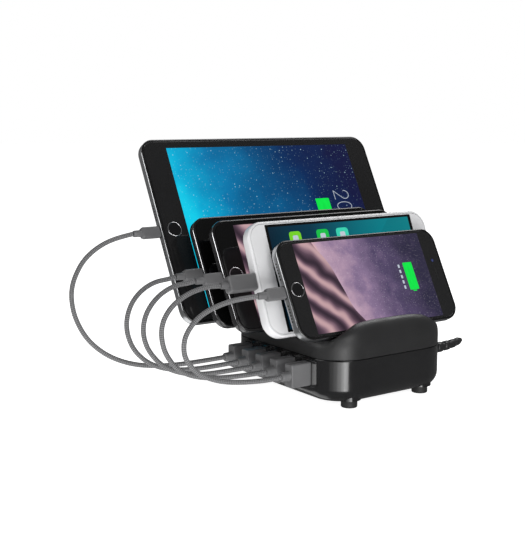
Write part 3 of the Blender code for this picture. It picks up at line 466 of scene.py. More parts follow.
def linear(level):
    """A display level from 0 to 255 as linear light."""
    share = level / 255
    return share / 12.92 if share <= 0.04045 else ((share + 0.055) / 1.055) ** 2.4


def ramp(tree, value, stops):
    """Colours for a value, through stops of (position, display levels)."""
    made = add(tree, "ShaderNodeValToRGB", {0: value})
    elements = made.color_ramp.elements
    while len(elements) < len(stops):
        elements.new(0.5)
    for element, (at, colour) in zip(elements, stops):
        element.position = at
        element.color = (*[linear(c) for c in colour], 1.0)
    return made.outputs[0]


def stars(tree, place, scale, size, seed):
    """White points of several strengths, one in some of the cells of a jittered grid."""
    shifted = add(tree, "ShaderNodeVectorMath", {0: place, 1: (seed, seed * 0.37, 0.0)}, operation="ADD")
    cells = add(tree, "ShaderNodeTexVoronoi", {"Vector": shifted.outputs[0], "Scale": scale},
                voronoi_dimensions="2D")
    inside = math_node(tree, "SUBTRACT", size, cells.outputs["Distance"])
    near = math_node(tree, "DIVIDE", inside, size, clamp=True)
    lot = add(tree, "ShaderNodeSeparateColor", {0: cells.outputs["Color"]})
    return math_node(tree, "MULTIPLY", near, math_node(tree, "POWER", lot.outputs[0], 7.0), clamp=True)


def paint_dusk(tree, place):
    """A violet haze with scattered lights, behind soft rose folds at the left."""
    even = scaled(tree, place, (1.8, 1.0, 1.0))
    across, up = across_and_up(tree, place)
    glow = pull(tree, noise(tree, even, 3.2, 6.0, 0.6), 0.5, 0.55, across)
    glow = pull(tree, up, 0.5, 0.10, glow)
    sky = ramp(tree, glow, ((0.10, (232, 184, 172)), (0.24, (192, 160, 180)), (0.44, (134, 112, 144)),
                            (0.66, (80, 68, 100)), (0.95, (42, 38, 62))))
    dim = math_node(tree, "MULTIPLY", stars(tree, even, 90.0, 0.20, 8.7), 0.7)
    dots = math_node(tree, "ADD", stars(tree, even, 46.0, 0.16, 3.1), dim, clamp=True)
    sky = mix_colour(tree, dots, sky, (0.90, 0.86, 0.95, 1.0))
    edge = math_node(tree, "MULTIPLY_ADD", up, -0.26, 0.40)
    edge = pull(tree, noise(tree, even, 1.4, 1.0), 0.5, 0.20, edge)
    folded = math_node(tree, "LESS_THAN", across, edge)
    folds = add(tree, "ShaderNodeTexWave", {"Vector": even, "Scale": 1.9, "Distortion": 5.0, "Detail": 2.0,
                                            "Detail Scale": 0.9}, bands_direction="DIAGONAL").outputs["Fac"]
    cloth = ramp(tree, folds, ((0.0, (52, 38, 50)), (0.35, (92, 70, 84)), (0.70, (142, 112, 124)),
                               (1.0, (196, 160, 164))))
    return mix_colour(tree, folded, sky, cloth)


def paint_ocean(tree, place):
    """Cyan at the left that deepens to a blue night at the right, with drifting light and stars."""
    even = scaled(tree, place, (1.34, 1.0, 1.0))
    across, up = across_and_up(tree, place)
    deep = pull(tree, noise(tree, even, 2.6, 5.0, 0.55), 0.5, -0.50, across)
    deep = pull(tree, up, 0.55, 0.22, deep)
    sky = ramp(tree, deep, ((0.0, (10, 204, 234)), (0.12, (0, 170, 212)), (0.30, (0, 118, 170)),
                            (0.50, (0, 78, 126)), (0.74, (0, 40, 88)), (0.98, (12, 18, 62))))
    dim = math_node(tree, "MULTIPLY", stars(tree, even, 62.0, 0.17, 1.9), 0.6)
    dots = math_node(tree, "ADD", stars(tree, even, 30.0, 0.13, 5.3), dim, clamp=True)
    return mix_colour(tree, dots, sky, (0.60, 0.92, 1.0, 1.0))


def paint_facets(tree, place):
    """Teal planes that cross at slants, darkest at the left."""
    across, up = across_and_up(tree, place)
    base = ramp(tree, across, ((0.0, (0, 24, 42)), (0.28, (0, 60, 80)), (0.52, (0, 128, 142)),
                               (0.80, (0, 172, 180)), (1.0, (20, 190, 194))))
    for start, slope, colour, share in ((0.30, 0.55, (0.0, 0.30, 0.32, 1.0), 0.45),
                                        (0.62, -0.50, (0.0, 0.02, 0.05, 1.0), 0.50),
                                        (0.80, 0.35, (0.05, 0.55, 0.55, 1.0), 0.40)):
        line = math_node(tree, "MULTIPLY_ADD", up, slope, start)
        beyond = math_node(tree, "MULTIPLY", math_node(tree, "GREATER_THAN", across, line), share)
        base = mix_colour(tree, beyond, base, colour)
    soft = math_node(tree, "MULTIPLY", noise(tree, place, 4.0), 0.25)
    return mix_colour(tree, soft, base, (0.0, 0.05, 0.08, 1.0))


def paint_plain(levels):
    """One lit colour with a slight unevenness."""
    def paint(tree, place):
        even = spread(tree, noise(tree, place, 5.0), 0.0, 1.0)
        low = tuple(linear(0.93 * c) for c in levels) + (1.0,)
        high = tuple(linear(c) for c in levels) + (1.0,)
        return mix_colour(tree, even, low, high)
    return paint


# Kind of material, colour, roughness and what else the kind takes.
SURFACES = {
    "hood_black": (surface, (0.0150, 0.0150, 0.0155), 0.44, dict(strength=0.35, vary=0.04)),
    "wall_black": (surface, (0.0100, 0.0100, 0.0105), 0.17, dict(strength=0.05, vary=0.015, grain=1400.0)),
    "foot_rubber": (surface, (0.012, 0.012, 0.012), 0.62, dict(strength=0.4)),
    "cord_rubber": (surface, (0.013, 0.013, 0.014), 0.42, dict(strength=0.2)),
    "plug_grey": (surface, (0.118, 0.118, 0.121), 0.40, dict(strength=0.30)),
    "jack_black": (surface, (0.012, 0.012, 0.013), 0.35, {}),
    "adapter_black": (surface, (0.014, 0.014, 0.015), 0.46, dict(strength=0.5, grain=1500.0)),
    "ferrite": (surface, (0.060, 0.060, 0.066), 0.60, dict(strength=0.6, depth=0.00008)),
    "braid": (braid, (0.115, 0.115, 0.118), 0.62, {}),
    "board": (circuit_board, (0.015, 0.120, 0.050), 0.40, {}),
    "steel": (brushed, (0.56, 0.56, 0.58), 0.30, {}),
    "contact": (brushed, (0.70, 0.70, 0.72), 0.22, {}),
    "silver": (surface, (0.60, 0.61, 0.62), 0.30,
               dict(metallic=1.0, tint=0.03, vary=0.02, grain=900.0, strength=0.015)),
    "polished": (surface, (0.78, 0.78, 0.80), 0.12, dict(metallic=1.0, tint=0.03, vary=0.03)),
    "graphite": (surface, (0.012, 0.012, 0.013), 0.16,
                 dict(tint=0.05, vary=0.02, strength=0.02, Coat_Weight=0.6)),
    "white": (surface, (0.72, 0.72, 0.73), 0.24, dict(tint=0.02, vary=0.03, strength=0.05)),
    "black_glass": (cover_glass, (0.0022, 0.0022, 0.0024), 0.07, {}),
    "grey_glass": (cover_glass, (0.0120, 0.0120, 0.0124), 0.07, {}),
    "rim_black": (surface, (0.0040, 0.0040, 0.0042), 0.22, dict(strength=0.04, vary=0.03)),
    "button_glass": (cover_glass, (0.0060, 0.0060, 0.0064), 0.07, {}),
    # flat black that stands in for the speaker holes and the earpiece slot: painted shade of their hollows
    "hole_black": (surface, (0.002, 0.002, 0.002), 0.70, {}),
    "lens_blue": (surface, (0.030, 0.040, 0.140), 0.08, {}),
}
PICTURES = {
    "dusk": paint_dusk,
    "ocean": paint_ocean,
    "facets": paint_facets,
    "lit_green": paint_plain((6, 236, 74)),
    "tile_lime": paint_plain((120, 214, 40)),
    "tile_green": paint_plain((24, 196, 74)),
    "tile_mint": paint_plain((60, 214, 180)),
    "lit_white": paint_plain((196, 206, 218)),
}


def make_looks():
    looks = {}
    for name, (kind, colour, roughness, settings) in SURFACES.items():
        looks[name] = kind(name, colour, roughness, **settings)
    for name, paint in PICTURES.items():
        looks[name] = glowing(name, paint)
    return looks


# ---------------------------------------------------------------- shapes shared with the CAD source
def rounded_rectangle(width, height, radius, steps=5):
    """Points round a rounded rectangle centred on zero, anticlockwise."""
    points = []
    for quarter, (sx, sy) in enumerate(((1, 1), (-1, 1), (-1, -1), (1, -1))):
        for step in range(steps + 1):
            angle = math.radians(90) * (quarter + step / steps)
            points.append((sx * (width / 2 - radius) + radius * math.cos(angle),
                           sy * (height / 2 - radius) + radius * math.sin(angle)))
    return points


def base_outline(corner_steps=16, side_steps=10):
    """Points and inward normals round the base, at the base's own centre, anticlockwise."""
    outline = []
    half_x = BASE_LENGTH / 2 - BASE_CORNER
    half_y = BASE_DEPTH / 2 - BASE_CORNER
    corners = ((half_x, half_y), (-half_x, half_y), (-half_x, -half_y), (half_x, -half_y))
    for quarter, (cx, cy) in enumerate(corners):
        for step in range(corner_steps + 1):
            angle = math.radians(90) * (quarter + step / corner_steps)
            normal = Vector((-math.cos(angle), -math.sin(angle)))
            outline.append((Vector((cx, cy)) - normal * BASE_CORNER, normal))
        end = outline[-1][0]
        nx, ny = corners[(quarter + 1) % 4]
        start_angle = math.radians(90) * (quarter + 1)
        start = Vector((nx, ny)) + Vector((math.cos(start_angle), math.sin(start_angle))) * BASE_CORNER
        for step in range(1, side_steps):
            outline.append((end.lerp(start, step / side_steps), outline[-1][1].copy()))
    return outline


def base_ring(outline, inset, z):
    return [(BASE_X + p.x + n.x * inset, BASE_Y + p.y + n.y * inset, z) for p, n in outline]


def ring_mesh(rings, looped=False):
    """A closed skin through rings of equally many points: capped at both ends, or back to the first."""
    bm = bmesh.new()
    layers = [[bm.verts.new(point) for point in ring] for ring in rings]
    count = len(layers[0])
    for near, far in zip(layers, layers[1:] + layers[:1] if looped else layers[1:]):
        for i in range(count):
            j = (i + 1) % count
            bm.faces.new((near[i], near[j], far[j], far[i]))
    if not looped:
        bm.faces.new(list(reversed(layers[0])))
        bm.faces.new(layers[-1])
    return bm


def blend_profiles(first, second, share):
    return [(a[0] + (b[0] - a[0]) * share, a[1] + (b[1] - a[1]) * share) for a, b in zip(first, second)]


def rim_share(point):
    """How much of the hood or back rest the rim has at a point: 1 in the middle, 0 at the ends."""
    return max(0.0, 1.0 - (abs(point.x) / HOOD_HALF_SPAN) ** 4)


def rim_profile(point, normal, edge, front, back):
    """The cross-section at one point of the outline."""
    share = rim_share(point)
    if point.y < 0:
        chosen, reach, wall_y = front, HOOD_INNER_Y, -BASE_DEPTH / 2
    else:
        chosen, reach, wall_y = back, REST_INNER_Y, BASE_DEPTH / 2
    profile = blend_profiles(edge, chosen, share)
    if share == 0.0 or abs(normal.y) < 0.2:
        return profile
    room = abs(reach - abs(point.y - wall_y)) / (abs(normal.y) * reach)
    squeeze = min(1.0, max(0.35, room))
    return [(inset * squeeze if i > 1 else inset, rise) for i, (inset, rise) in enumerate(profile)]


def rest_point(device):
    """Where the lower front edge of a docked device is, at its left end."""
    return Vector((device.left, BAY_1_Y + BAY_PITCH * DEVICES.index(device) + device.back,
                   REST_LEVEL + device.rise))


def groove_floor(device):
    """Just under the lowest point of the rounded lower edges of a docked device."""
    lean = math.radians(device.lean)
    lowest = min(radius * (math.cos(lean) - 1) - (depth - radius if depth else radius) * math.sin(lean)
                 for radius, depth in ((FRONT_EDGE, 0.0), (BACK_EDGE, device.thick)))
    return REST_LEVEL + device.rise + lowest - CLEAR


def four_places(out_x, out_y):
    return [(BASE_X + sx * out_x, BASE_Y + sy * out_y) for sx in (-1, 1) for sy in (-1, 1)]


def port_places():
    return [(PORT_1_Y + PORT_PITCH * index, PORT_Z) for index in range(len(DEVICES))]


def smooth_curve(points, spacing):
    """Evenly spaced points on a natural cubic spline through the given ones."""
    knots = np.array(points, dtype=float)
    chords = np.linalg.norm(np.diff(knots, axis=0), axis=1)
    at = np.concatenate([[0.0], np.cumsum(chords)])
    count = len(knots)
    system = np.eye(count)
    right = np.zeros_like(knots)
    for i in range(1, count - 1):
        before, after = at[i] - at[i - 1], at[i + 1] - at[i]
        system[i, i - 1:i + 2] = (before, 2 * (before + after), after)
        right[i] = 6 * ((knots[i + 1] - knots[i]) / after - (knots[i] - knots[i - 1]) / before)
    bend = np.linalg.solve(system, right)
    samples = np.linspace(0.0, at[-1], max(2, round(at[-1] / spacing)) + 1)
    curve = []
    for s in samples:
        i = min(max(int(np.searchsorted(at, s)) - 1, 0), count - 2)
        gap = at[i + 1] - at[i]
        u, v = (at[i + 1] - s) / gap, (s - at[i]) / gap
        curve.append(u * knots[i] + v * knots[i + 1]
                     + gap * gap / 6 * ((u ** 3 - u) * bend[i] + (v ** 3 - v) * bend[i + 1]))
    return curve


def eased(share):
    return share * share * (3 - 2 * share)


def cable_route(device):
    """The cable's route in space: it swings across from its port to its connector as it rises."""
    start_y = port_places()[DEVICES.index(device)][0]
    end = connector_end(device)
    flat = list(CABLE_ROUTES[device.name]) + [(end.x, end.z)]
    lengths = [0.0]
    for a, b in zip(flat, flat[1:]):
        lengths.append(lengths[-1] + math.dist(a, b))
    return [(x, start_y + (end.y - start_y) * eased(along / lengths[-1]), z)
            for (x, z), along in zip(flat, lengths)]


def boot_place(along):
    """Middle and heading of the supply plug, which is straight up to its boot and then bends."""
    straight = min(along, BOOT_START)
    turn = BOOT_TURN * max(0.0, along - BOOT_START) / BOOT_LENGTH
    radius = BOOT_LENGTH / BOOT_TURN
    middle = Vector((BASE_X + BASE_LENGTH / 2 + straight + radius * math.sin(turn),
                     JACK_Y + radius * (1 - math.cos(turn)), JACK_Z))
    return middle, turn


def device_matrix(device):
    """From along, into and up the device to the part's frame."""
    return Matrix.Translation(rest_point(device)) @ Matrix.Rotation(-math.radians(device.lean), 4, "X")


def connector_size(device):
    return LARGE_CONNECTOR if device.name == "phone_2" else SMALL_CONNECTOR


def connector_end(device):
    """Where the cable meets the connector's sleeve."""
    size = connector_size(device)
    reach = size["body"] + size["sleeve"] + 3 * CLEAR
    return device_matrix(device) @ Vector((-reach, device.thick / 2, device.height / 2))


def quarter(radius, steps):
    """A quarter round as (distance in from the side, rise), from its foot to where it is upright."""
    angles = [math.radians(90) * step / steps for step in range(steps + 1)]
    return [(radius * (1 - math.sin(angle)), radius * (1 - math.cos(angle))) for angle in angles]


# ---------------------------------------------------------------- building pieces
def fine_curve(profile, steps=3):
    """A profile with more points, on a smooth line through the given ones."""
    points = [Vector(p) for p in profile]
    fine = []
    for i in range(len(points) - 1):
        before, here = points[max(i - 1, 0)], points[i]
        there, after = points[i + 1], points[min(i + 2, len(points) - 1)]
        for step in range(steps):
            t = step / steps
            fine.append(tuple(0.5 * (2 * here + (there - before) * t
                                     + (2 * before - 5 * here + 4 * there - after) * t * t
                                     + (3 * here - before - 3 * there + after) * t ** 3)))
    fine.append(tuple(points[-1]))
    return fine


def smooth_faces(mesh, sharp):
    mesh.shade_smooth()
    mesh.set_sharp_from_angle(angle=math.radians(sharp))


def loose(name, bm, sharp=32, turn=None):
    """An object that rides on nothing yet: a shape in the making, or a tool."""
    bmesh.ops.recalc_face_normals(bm, faces=bm.faces)
    if turn is not None:
        bm.transform(turn)
    mesh = bpy.data.meshes.new(name)
    bm.to_mesh(mesh)
    bm.free()
    smooth_faces(mesh, sharp)
    thing = bpy.data.objects.new(name, mesh)
    bpy.context.scene.collection.objects.link(thing)
    return thing


def carve(target, tool, operation="DIFFERENCE", sharp=32):
    """Cuts or joins a solid for good and drops the tool."""
    modifier = target.modifiers.new("carve", "BOOLEAN")
    modifier.operation, modifier.object, modifier.solver = operation, tool, "EXACT"
    graph = bpy.context.evaluated_depsgraph_get()
    made = bpy.data.meshes.new_from_object(target.evaluated_get(graph))
    target.modifiers.clear()
    target.data = made
    smooth_faces(made, sharp)
    bpy.data.objects.remove(tool)


def bore(target, name, profile, place, steps=40, axis="Z", operation="DIFFERENCE", sharp=32):
    """Cuts out or joins on a turned shape."""
    carve(target, loose(f"tool_{name}", turned_mesh(profile, place, steps, axis)), operation, sharp)


def rod(radius, low, high):
    return [(radius, low), (radius, high)]


def show(thing, look, body, *nodes, slot=None):
    """Gives a finished shape its material and body, and the CAD nodes that it stands for."""
    thing.data.materials.clear()
    thing.data.materials.append(LOOKS[look])
    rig.ride(thing, body)
    if nodes:
        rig.replaces(thing, *nodes)
    if slot:
        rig.slot(thing, slot)
    return thing


def turned_mesh(profile, place, steps=40, axis="Z", looped=False):
    """A skin turned round an axis through a place; its profile is (radius, distance along the axis)."""
    rings = []
    for radius, along in profile:
        ring = []
        for i in range(steps):
            angle = 2 * math.pi * i / steps
            a, b = radius * math.cos(angle), radius * math.sin(angle)
            point = {"X": (along, a, b), "Y": (a, along, b), "Z": (a, b, along)}[axis]
            ring.append(tuple(Vector(point) + Vector(place)))
        rings.append(ring)
    return ring_mesh(rings, looped)


def stacked_mesh(sections, place, steps=6):
    """A skin through rounded rectangles across X, each (x, width, height, corner)."""
    rings = []
    for x, width, height, corner in sections:
        rings.append([(place[0] + x, place[1] + y, place[2] + z)
                      for y, z in rounded_rectangle(width, height, corner, steps)])
    return ring_mesh(rings)


def box_mesh(low, high):
    size, centre = Vector(high) - Vector(low), (Vector(high) + Vector(low)) / 2
    bm = bmesh.new()
    bmesh.ops.create_cube(bm, size=1.0, matrix=Matrix.Translation(centre) @ Matrix.Diagonal((*size, 1.0)))
    return bm


def rounded_end(x, sign, width, height, corner, radius, steps=5):
    """Sections that round off one end of a block: from its full size to its end face."""
    return [(x - sign * inset, width - 2 * trim, height - 2 * trim, max(0.0003, corner - trim))
            for inset, trim in quarter(radius, steps)]


def sweep(points, radius, sides):
    """A closed tube round a line, with U along it in metres and V once round it."""
    bm = bmesh.new()
    uv = bm.loops.layers.uv.new("UVMap")
    places = [Vector(p) for p in points]
    along, side, rings = 0.0, None, []
    for i, place in enumerate(places):
        heading = (places[min(i + 1, len(places) - 1)] - places[max(i - 1, 0)]).normalized()
        if side is None:
            side = heading.cross(Vector((0.0, 0.0, 1.0))).normalized()
        side = (side - heading * side.dot(heading)).normalized()
        other = heading.cross(side)
        if i:
            along += (place - places[i - 1]).length
        rings.append((along, [bm.verts.new(place + (side * math.cos(2 * math.pi * k / sides)
                                                    + other * math.sin(2 * math.pi * k / sides)) * radius)
                              for k in range(sides)]))
    for (u0, near), (u1, far) in zip(rings, rings[1:]):
        for k in range(sides):
            j = (k + 1) % sides
            face = bm.faces.new((near[k], near[j], far[j], far[k]))
            v0, v1 = k / sides, (k + 1) / sides
            for loop, place in zip(face.loops, ((u0, v0), (u0, v1), (u1, v1), (u1, v0))):
                loop[uv].uv = place
    bm.faces.new(list(reversed(rings[0][1])))
    bm.faces.new(rings[-1][1])
    return bm


# ---------------------------------------------------------------- plugs and cords
def make_plug(number, place):
    """One moulded USB plug: contact tongue, rounded body and sleeve."""
    end, neck = -PLUG_LENGTH, 2 * SLEEVE_RADIUS
    tip = end - SLEEVE_LENGTH
    sections = [(0.0112, 0.0044, 0.0118, 0.0003), (0.0115, 0.0045, 0.0120, 0.0003),
                (0.0005, 0.0045, 0.0120, 0.0003),
                (0.0005, PLUG_WIDTH - 0.0006, PLUG_HEIGHT - 0.0006, 0.0010),
                (0.0002, PLUG_WIDTH, PLUG_HEIGHT, 0.0012)]
    sections += rounded_end(end, -1, PLUG_WIDTH, PLUG_HEIGHT, 0.0012, 0.0008)
    for x, wider, corner in ((end, 0.0010, 0.0004), (end - 0.0006, 0.0002, 0.0),
                             (tip + 0.0012, 0.0, -0.00005), (tip + 0.0004, -0.0006, -0.00035),
                             (tip, -0.0018, -0.00095)):
        sections.append((x, neck + wider, neck + wider, SLEEVE_RADIUS + corner))
    plug = loose(f"plug_{number}", stacked_mesh(sections, place), sharp=40)
    return show(plug, "plug_grey", "station", f"usb_plug_{number}", slot="plug_grey")


def make_connector(number, device):
    """The connector at the other end, moulded with a waist before its sleeve."""
    size = connector_size(device)
    width, high, body, sleeve = size["width"], size["height"], size["body"], size["sleeve"]
    collar, corner = 2 * CONNECTOR_SLEEVE_RADIUS, CONNECTOR_SLEEVE_RADIUS
    start, end = -CLEAR, -CLEAR - body
    tongue = (0.0018, 0.0067, 0.0007)
    sections = [(0.0062, *tongue), (start, *tongue),
                (start, width - 0.0006, high - 0.0006, 0.0012), (start - 0.0003, width, high, 0.0014),
                (end + 0.0016, width, high, 0.0014), (end + 0.0009, width - 0.0001, high - 0.0004, 0.0014),
                (end + 0.0003, width - 0.0003, high - 0.0011, 0.0013),
                (end, width - 0.0008, high - 0.0021, 0.0012),
                (end, collar, collar, corner - 0.00005),
                (end - sleeve + 0.0008, collar - 0.0002, collar - 0.0002, corner - 0.00015),
                (end - sleeve, collar - 0.0010, collar - 0.0010, corner - 0.0006)]
    place = (0.0, device.thick / 2, device.height / 2)
    connector = loose(f"cable_end_{number}", stacked_mesh(sections, place), sharp=40,
                      turn=device_matrix(device))
    return show(connector, "plug_grey", "station", f"connector_{number}", slot="plug_grey")


def make_cables():
    front_x = BASE_X - BASE_LENGTH / 2 - BEZEL_PROUD
    for number, (device, (y, z)) in enumerate(zip(DEVICES, port_places()), 1):
        plug, end = make_plug(number, (front_x, y, z)), make_connector(number, device)
        points = smooth_curve(cable_route(device), spacing=0.0009)
        cable = loose(f"cable_{number}", sweep(points, CABLE_DIAMETER / 2, sides=14), sharp=60)
        show(cable, "braid", "station", f"charge_cable_{number}", slot="cable_braid")
        length = sum(math.dist(a, b) for a, b in zip(points, points[1:]))
        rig.cord(cable, exit=points[0], length=length, diameter=CABLE_DIAMETER, far_end="connector",
                stiffness="medium", lay="loose", path=points, with_pieces=[plug, end])


# The coil's turns: (degrees round, radius, height), eased from one to the next. The last turn climbs
# over the place where it was lifted to the top layer, and leaves for the adapter.
COIL_TURNS = ((-15, 0.0236, 0.0018), (190, 0.0236, 0.0018), (260, 0.0200, 0.0018), (550, 0.0200, 0.0018),
              (620, 0.0164, 0.0018), (830, 0.0164, 0.0018), (900, 0.0164, 0.0054), (1120, 0.0164, 0.0054),
              (1190, 0.0200, 0.0054), (1480, 0.0200, 0.0054), (1550, 0.0236, 0.0054), (1770, 0.0236, 0.0054),
              (1840, 0.0236, 0.0090), (2050, 0.0236, 0.0090), (2130, 0.0236, 0.0124), (2255, 0.0236, 0.0124))
LEAD_LENGTH = 1.0


def coil_points(step=20):
    spots = []
    for (a0, r0, z0), (a1, r1, z1) in zip(COIL_TURNS, COIL_TURNS[1:]):
        count = max(1, round((a1 - a0) / step))
        for i in range(count):
            share = i / count
            ease = eased(share)
            spots.append((a0 + (a1 - a0) * share, r0 + (r1 - r0) * ease, z0 + (z1 - z0) * ease))
    spots.append(COIL_TURNS[-1])
    return [(COIL_X + radius * math.cos(math.radians(angle)), COIL_Y + radius * math.sin(math.radians(angle)),
             height) for angle, radius, height in spots]


def make_supply_plug(ribs=4, sides=32):
    """The moulded supply plug with its ribbed boot."""
    profile = [(0.00275, -0.0095), (0.00275, 0.0004), (0.0040, 0.0004), (0.0046, 0.0007), (0.0047, 0.0012),
               (0.0047, 0.0064), (0.0045, 0.0070), (0.0040, 0.0074), (0.0032, BOOT_START)]
    pitch = BOOT_LENGTH / ribs
    for rib in range(ribs):
        start, radius = BOOT_START + pitch * rib, 0.0037 - 0.0003 * rib
        profile += [(0.0025, start + 0.0012), (radius - 0.0004, start + 0.0016), (radius, start + 0.0022),
                    (radius, start + pitch - 0.0020), (radius - 0.0005, start + pitch - 0.0013),
                    (0.0025, start + pitch - 0.0009)]
    profile[-1] = (0.0024, BOOT_START + BOOT_LENGTH)
    rings = []
    for radius, along in profile:
        middle, turn = boot_place(along)
        across, up = Vector((-math.sin(turn), math.cos(turn), 0.0)), Vector((0.0, 0.0, 1.0))
        angles = [2 * math.pi * i / sides for i in range(sides)]
        rings.append([middle + across * radius * math.cos(a) + up * radius * math.sin(a) for a in angles])
    plug = loose("supply_plug", ring_mesh(rings), sharp=45)
    return show(plug, "cord_rubber", "station", "dc_plug", slot="lead_rubber")


def make_adapter():
    """The wall adapter: a rounded block with a ringed strain relief, a pin carrier and a groove."""
    half, middle = ADAPTER_LENGTH / 2, (ADAPTER_X, ADAPTER_Y, ADAPTER_HEIGHT / 2)

    def block(name, sections):
        return loose(name, stacked_mesh(sections, middle, 8))

    def slab(start, end, wider, corner):
        """A slice round the case, this much wider than it."""
        return block("tool_slab", [(x, ADAPTER_DEPTH + wider, ADAPTER_HEIGHT + wider, corner)
                                   for x in (half - start, half - end)])

    ends = (ADAPTER_DEPTH, ADAPTER_HEIGHT, 0.005, 0.003, 6)
    adapter = block("adapter_case", rounded_end(-half, -1, *ends)[::-1] + rounded_end(half, 1, *ends))
    relief = [(0.0036, -half + 0.002), (0.0036, -half - 0.0004)]
    for ring in range(5):
        start, radius = -half - 0.0010 - 0.0020 * ring, 0.0035 - 0.00022 * ring
        relief += [(radius - 0.0007, start + 0.0003), (radius, start), (radius, start - 0.0010),
                   (radius - 0.0007, start - 0.0013)]
    relief += [(0.0022, -half - ADAPTER_RELIEF)]
    bore(adapter, "relief", relief, (ADAPTER_X, ADAPTER_Y, ADAPTER_CORD_Z), 28, "X", "UNION")
    end_x, side = ADAPTER_X + half, 0.0123
    carrier = box_mesh((end_x - 0.004, ADAPTER_Y - side, 0.0067), (end_x + 0.002, ADAPTER_Y + side, 0.0213))
    carve(adapter, loose("tool_carrier", carrier))
    groove = slab(0.0200, 0.0196, 0.002, 0.006)
    carve(groove, slab(0.0210, 0.0186, -0.0008, 0.0046))
    carve(adapter, groove)
    return show(adapter, "adapter_black", "station", "wall_adapter", slot="upper_plastic")


def make_supply():
    """The supply plug, the lead in its coil, and the wall adapter."""
    plug, adapter = make_supply_plug(), make_adapter()
    line = smooth_curve(list(LEAD_ROUTE) + coil_points() + list(TAIL_ROUTE), spacing=0.0012)
    lead = loose("supply_lead", sweep(line, LEAD_DIAMETER / 2, sides=12), sharp=60)
    show(lead, "cord_rubber", "station", "dc_lead", "dc_lead_coil", "dc_lead_tail", slot="lead_rubber")
    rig.cord(lead, exit=LEAD_ROUTE[0], length=LEAD_LENGTH, diameter=LEAD_DIAMETER, far_end="plug",
            stiffness="limp", lay="coiled", path=line,
            with_pieces=[plug, adapter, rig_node("adapter_pins")])


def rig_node(name):
    return next(o for o in bpy.data.objects if o.get("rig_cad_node") == name)


# ---------------------------------------------------------------- the base
def section_ring(outline, sections, level, least_inset=0.0, least_rise=0.0):
    """A ring through one level of the cross-sections round the outline."""
    ring = []
    for (p, n), section in zip(outline, sections):
        inset, rise = max(least_inset, section[level][0]), max(least_rise, section[level][1])
        ring.append((BASE_X + p.x + n.x * inset, BASE_Y + p.y + n.y * inset, SEAM + rise))
    return ring


def make_lower_shell(outline):
    """The tub: a tongue on its edge, bezels round the ports, foot pads and screw bosses."""
    top, tongue, tongue_top = SEAM - CLEAR / 2, LIP + CLEAR, SEAM + EDGE_INSIDE[0][1] - CLEAR
    steps = [(inset, BASE_BOTTOM + rise) for inset, rise in quarter(BOTTOM_FILLET, 8)]
    steps += [(0.0, top - 0.0010), (0.0, top - 0.0004), (0.0001, top - 0.00012), (0.0004, top),
              (tongue, top), (tongue, tongue_top), (WALL, tongue_top)]
    steps += [(WALL + inset, BASE_BOTTOM + WALL + rise)
              for inset, rise in reversed(quarter(BOTTOM_FILLET - WALL, 4))]
    shell = loose("base_lower", ring_mesh([base_ring(outline, inset, z) for inset, z in steps]))

    wall_x, right_x = BASE_X - BASE_LENGTH / 2, BASE_X + BASE_LENGTH / 2
    front_x = wall_x - BEZEL_PROUD
    seat, mouth = (PLUG_WIDTH + 0.0010, PLUG_HEIGHT + 0.0010, 0.0014), (0.0065, 0.0140, 0.0006)
    root = (0.0138, 0.0190, 0.0030)
    bezel = ((front_x, 0.0100, 0.0174, 0.0020), (front_x + 0.0004, 0.0108, 0.0178, 0.0022),
             (wall_x, *root), (wall_x + WALL + 0.0006, *root))
    pocket = ((front_x - 0.002, *seat), (front_x + 0.0010, *seat), (front_x + 0.0010, *mouth),
              (wall_x + 0.006, *mouth))
    for y, z in port_places():
        carve(shell, loose("tool_bezel", stacked_mesh(bezel, (0.0, y, z), 5)), "UNION")
        carve(shell, loose("tool_pocket", stacked_mesh(pocket, (0.0, y, z), 5)))
    bore(shell, "jack", rod(0.0043, right_x - 0.006, right_x + 0.006), (0.0, JACK_Y, JACK_Z), axis="X")
    for x, y in four_places(FOOT_X, FOOT_Y):
        pad = rod(FOOT_RADIUS + WALL, BASE_BOTTOM + 0.0012, FOOT_HEIGHT + WALL)
        bore(shell, "pad", pad, (x, y, 0.0), operation="UNION")
        bore(shell, "foot", rod(FOOT_RADIUS + CLEAR, -0.001, FOOT_HEIGHT + CLEAR), (x, y, 0.0))
    for x, y in four_places(SCREW_X, SCREW_Y):
        bore(shell, "boss", rod(0.0045, BASE_BOTTOM + 0.0010, 0.0088), (x, y, 0.0), 24, operation="UNION")
        bore(shell, "screw", rod(0.0031, 0.0, 0.0064) + rod(0.0017, 0.0064, 0.0100), (x, y, 0.0), 24)
    show(shell, "wall_black", "station", "lower_shell", slot="lower_plastic")


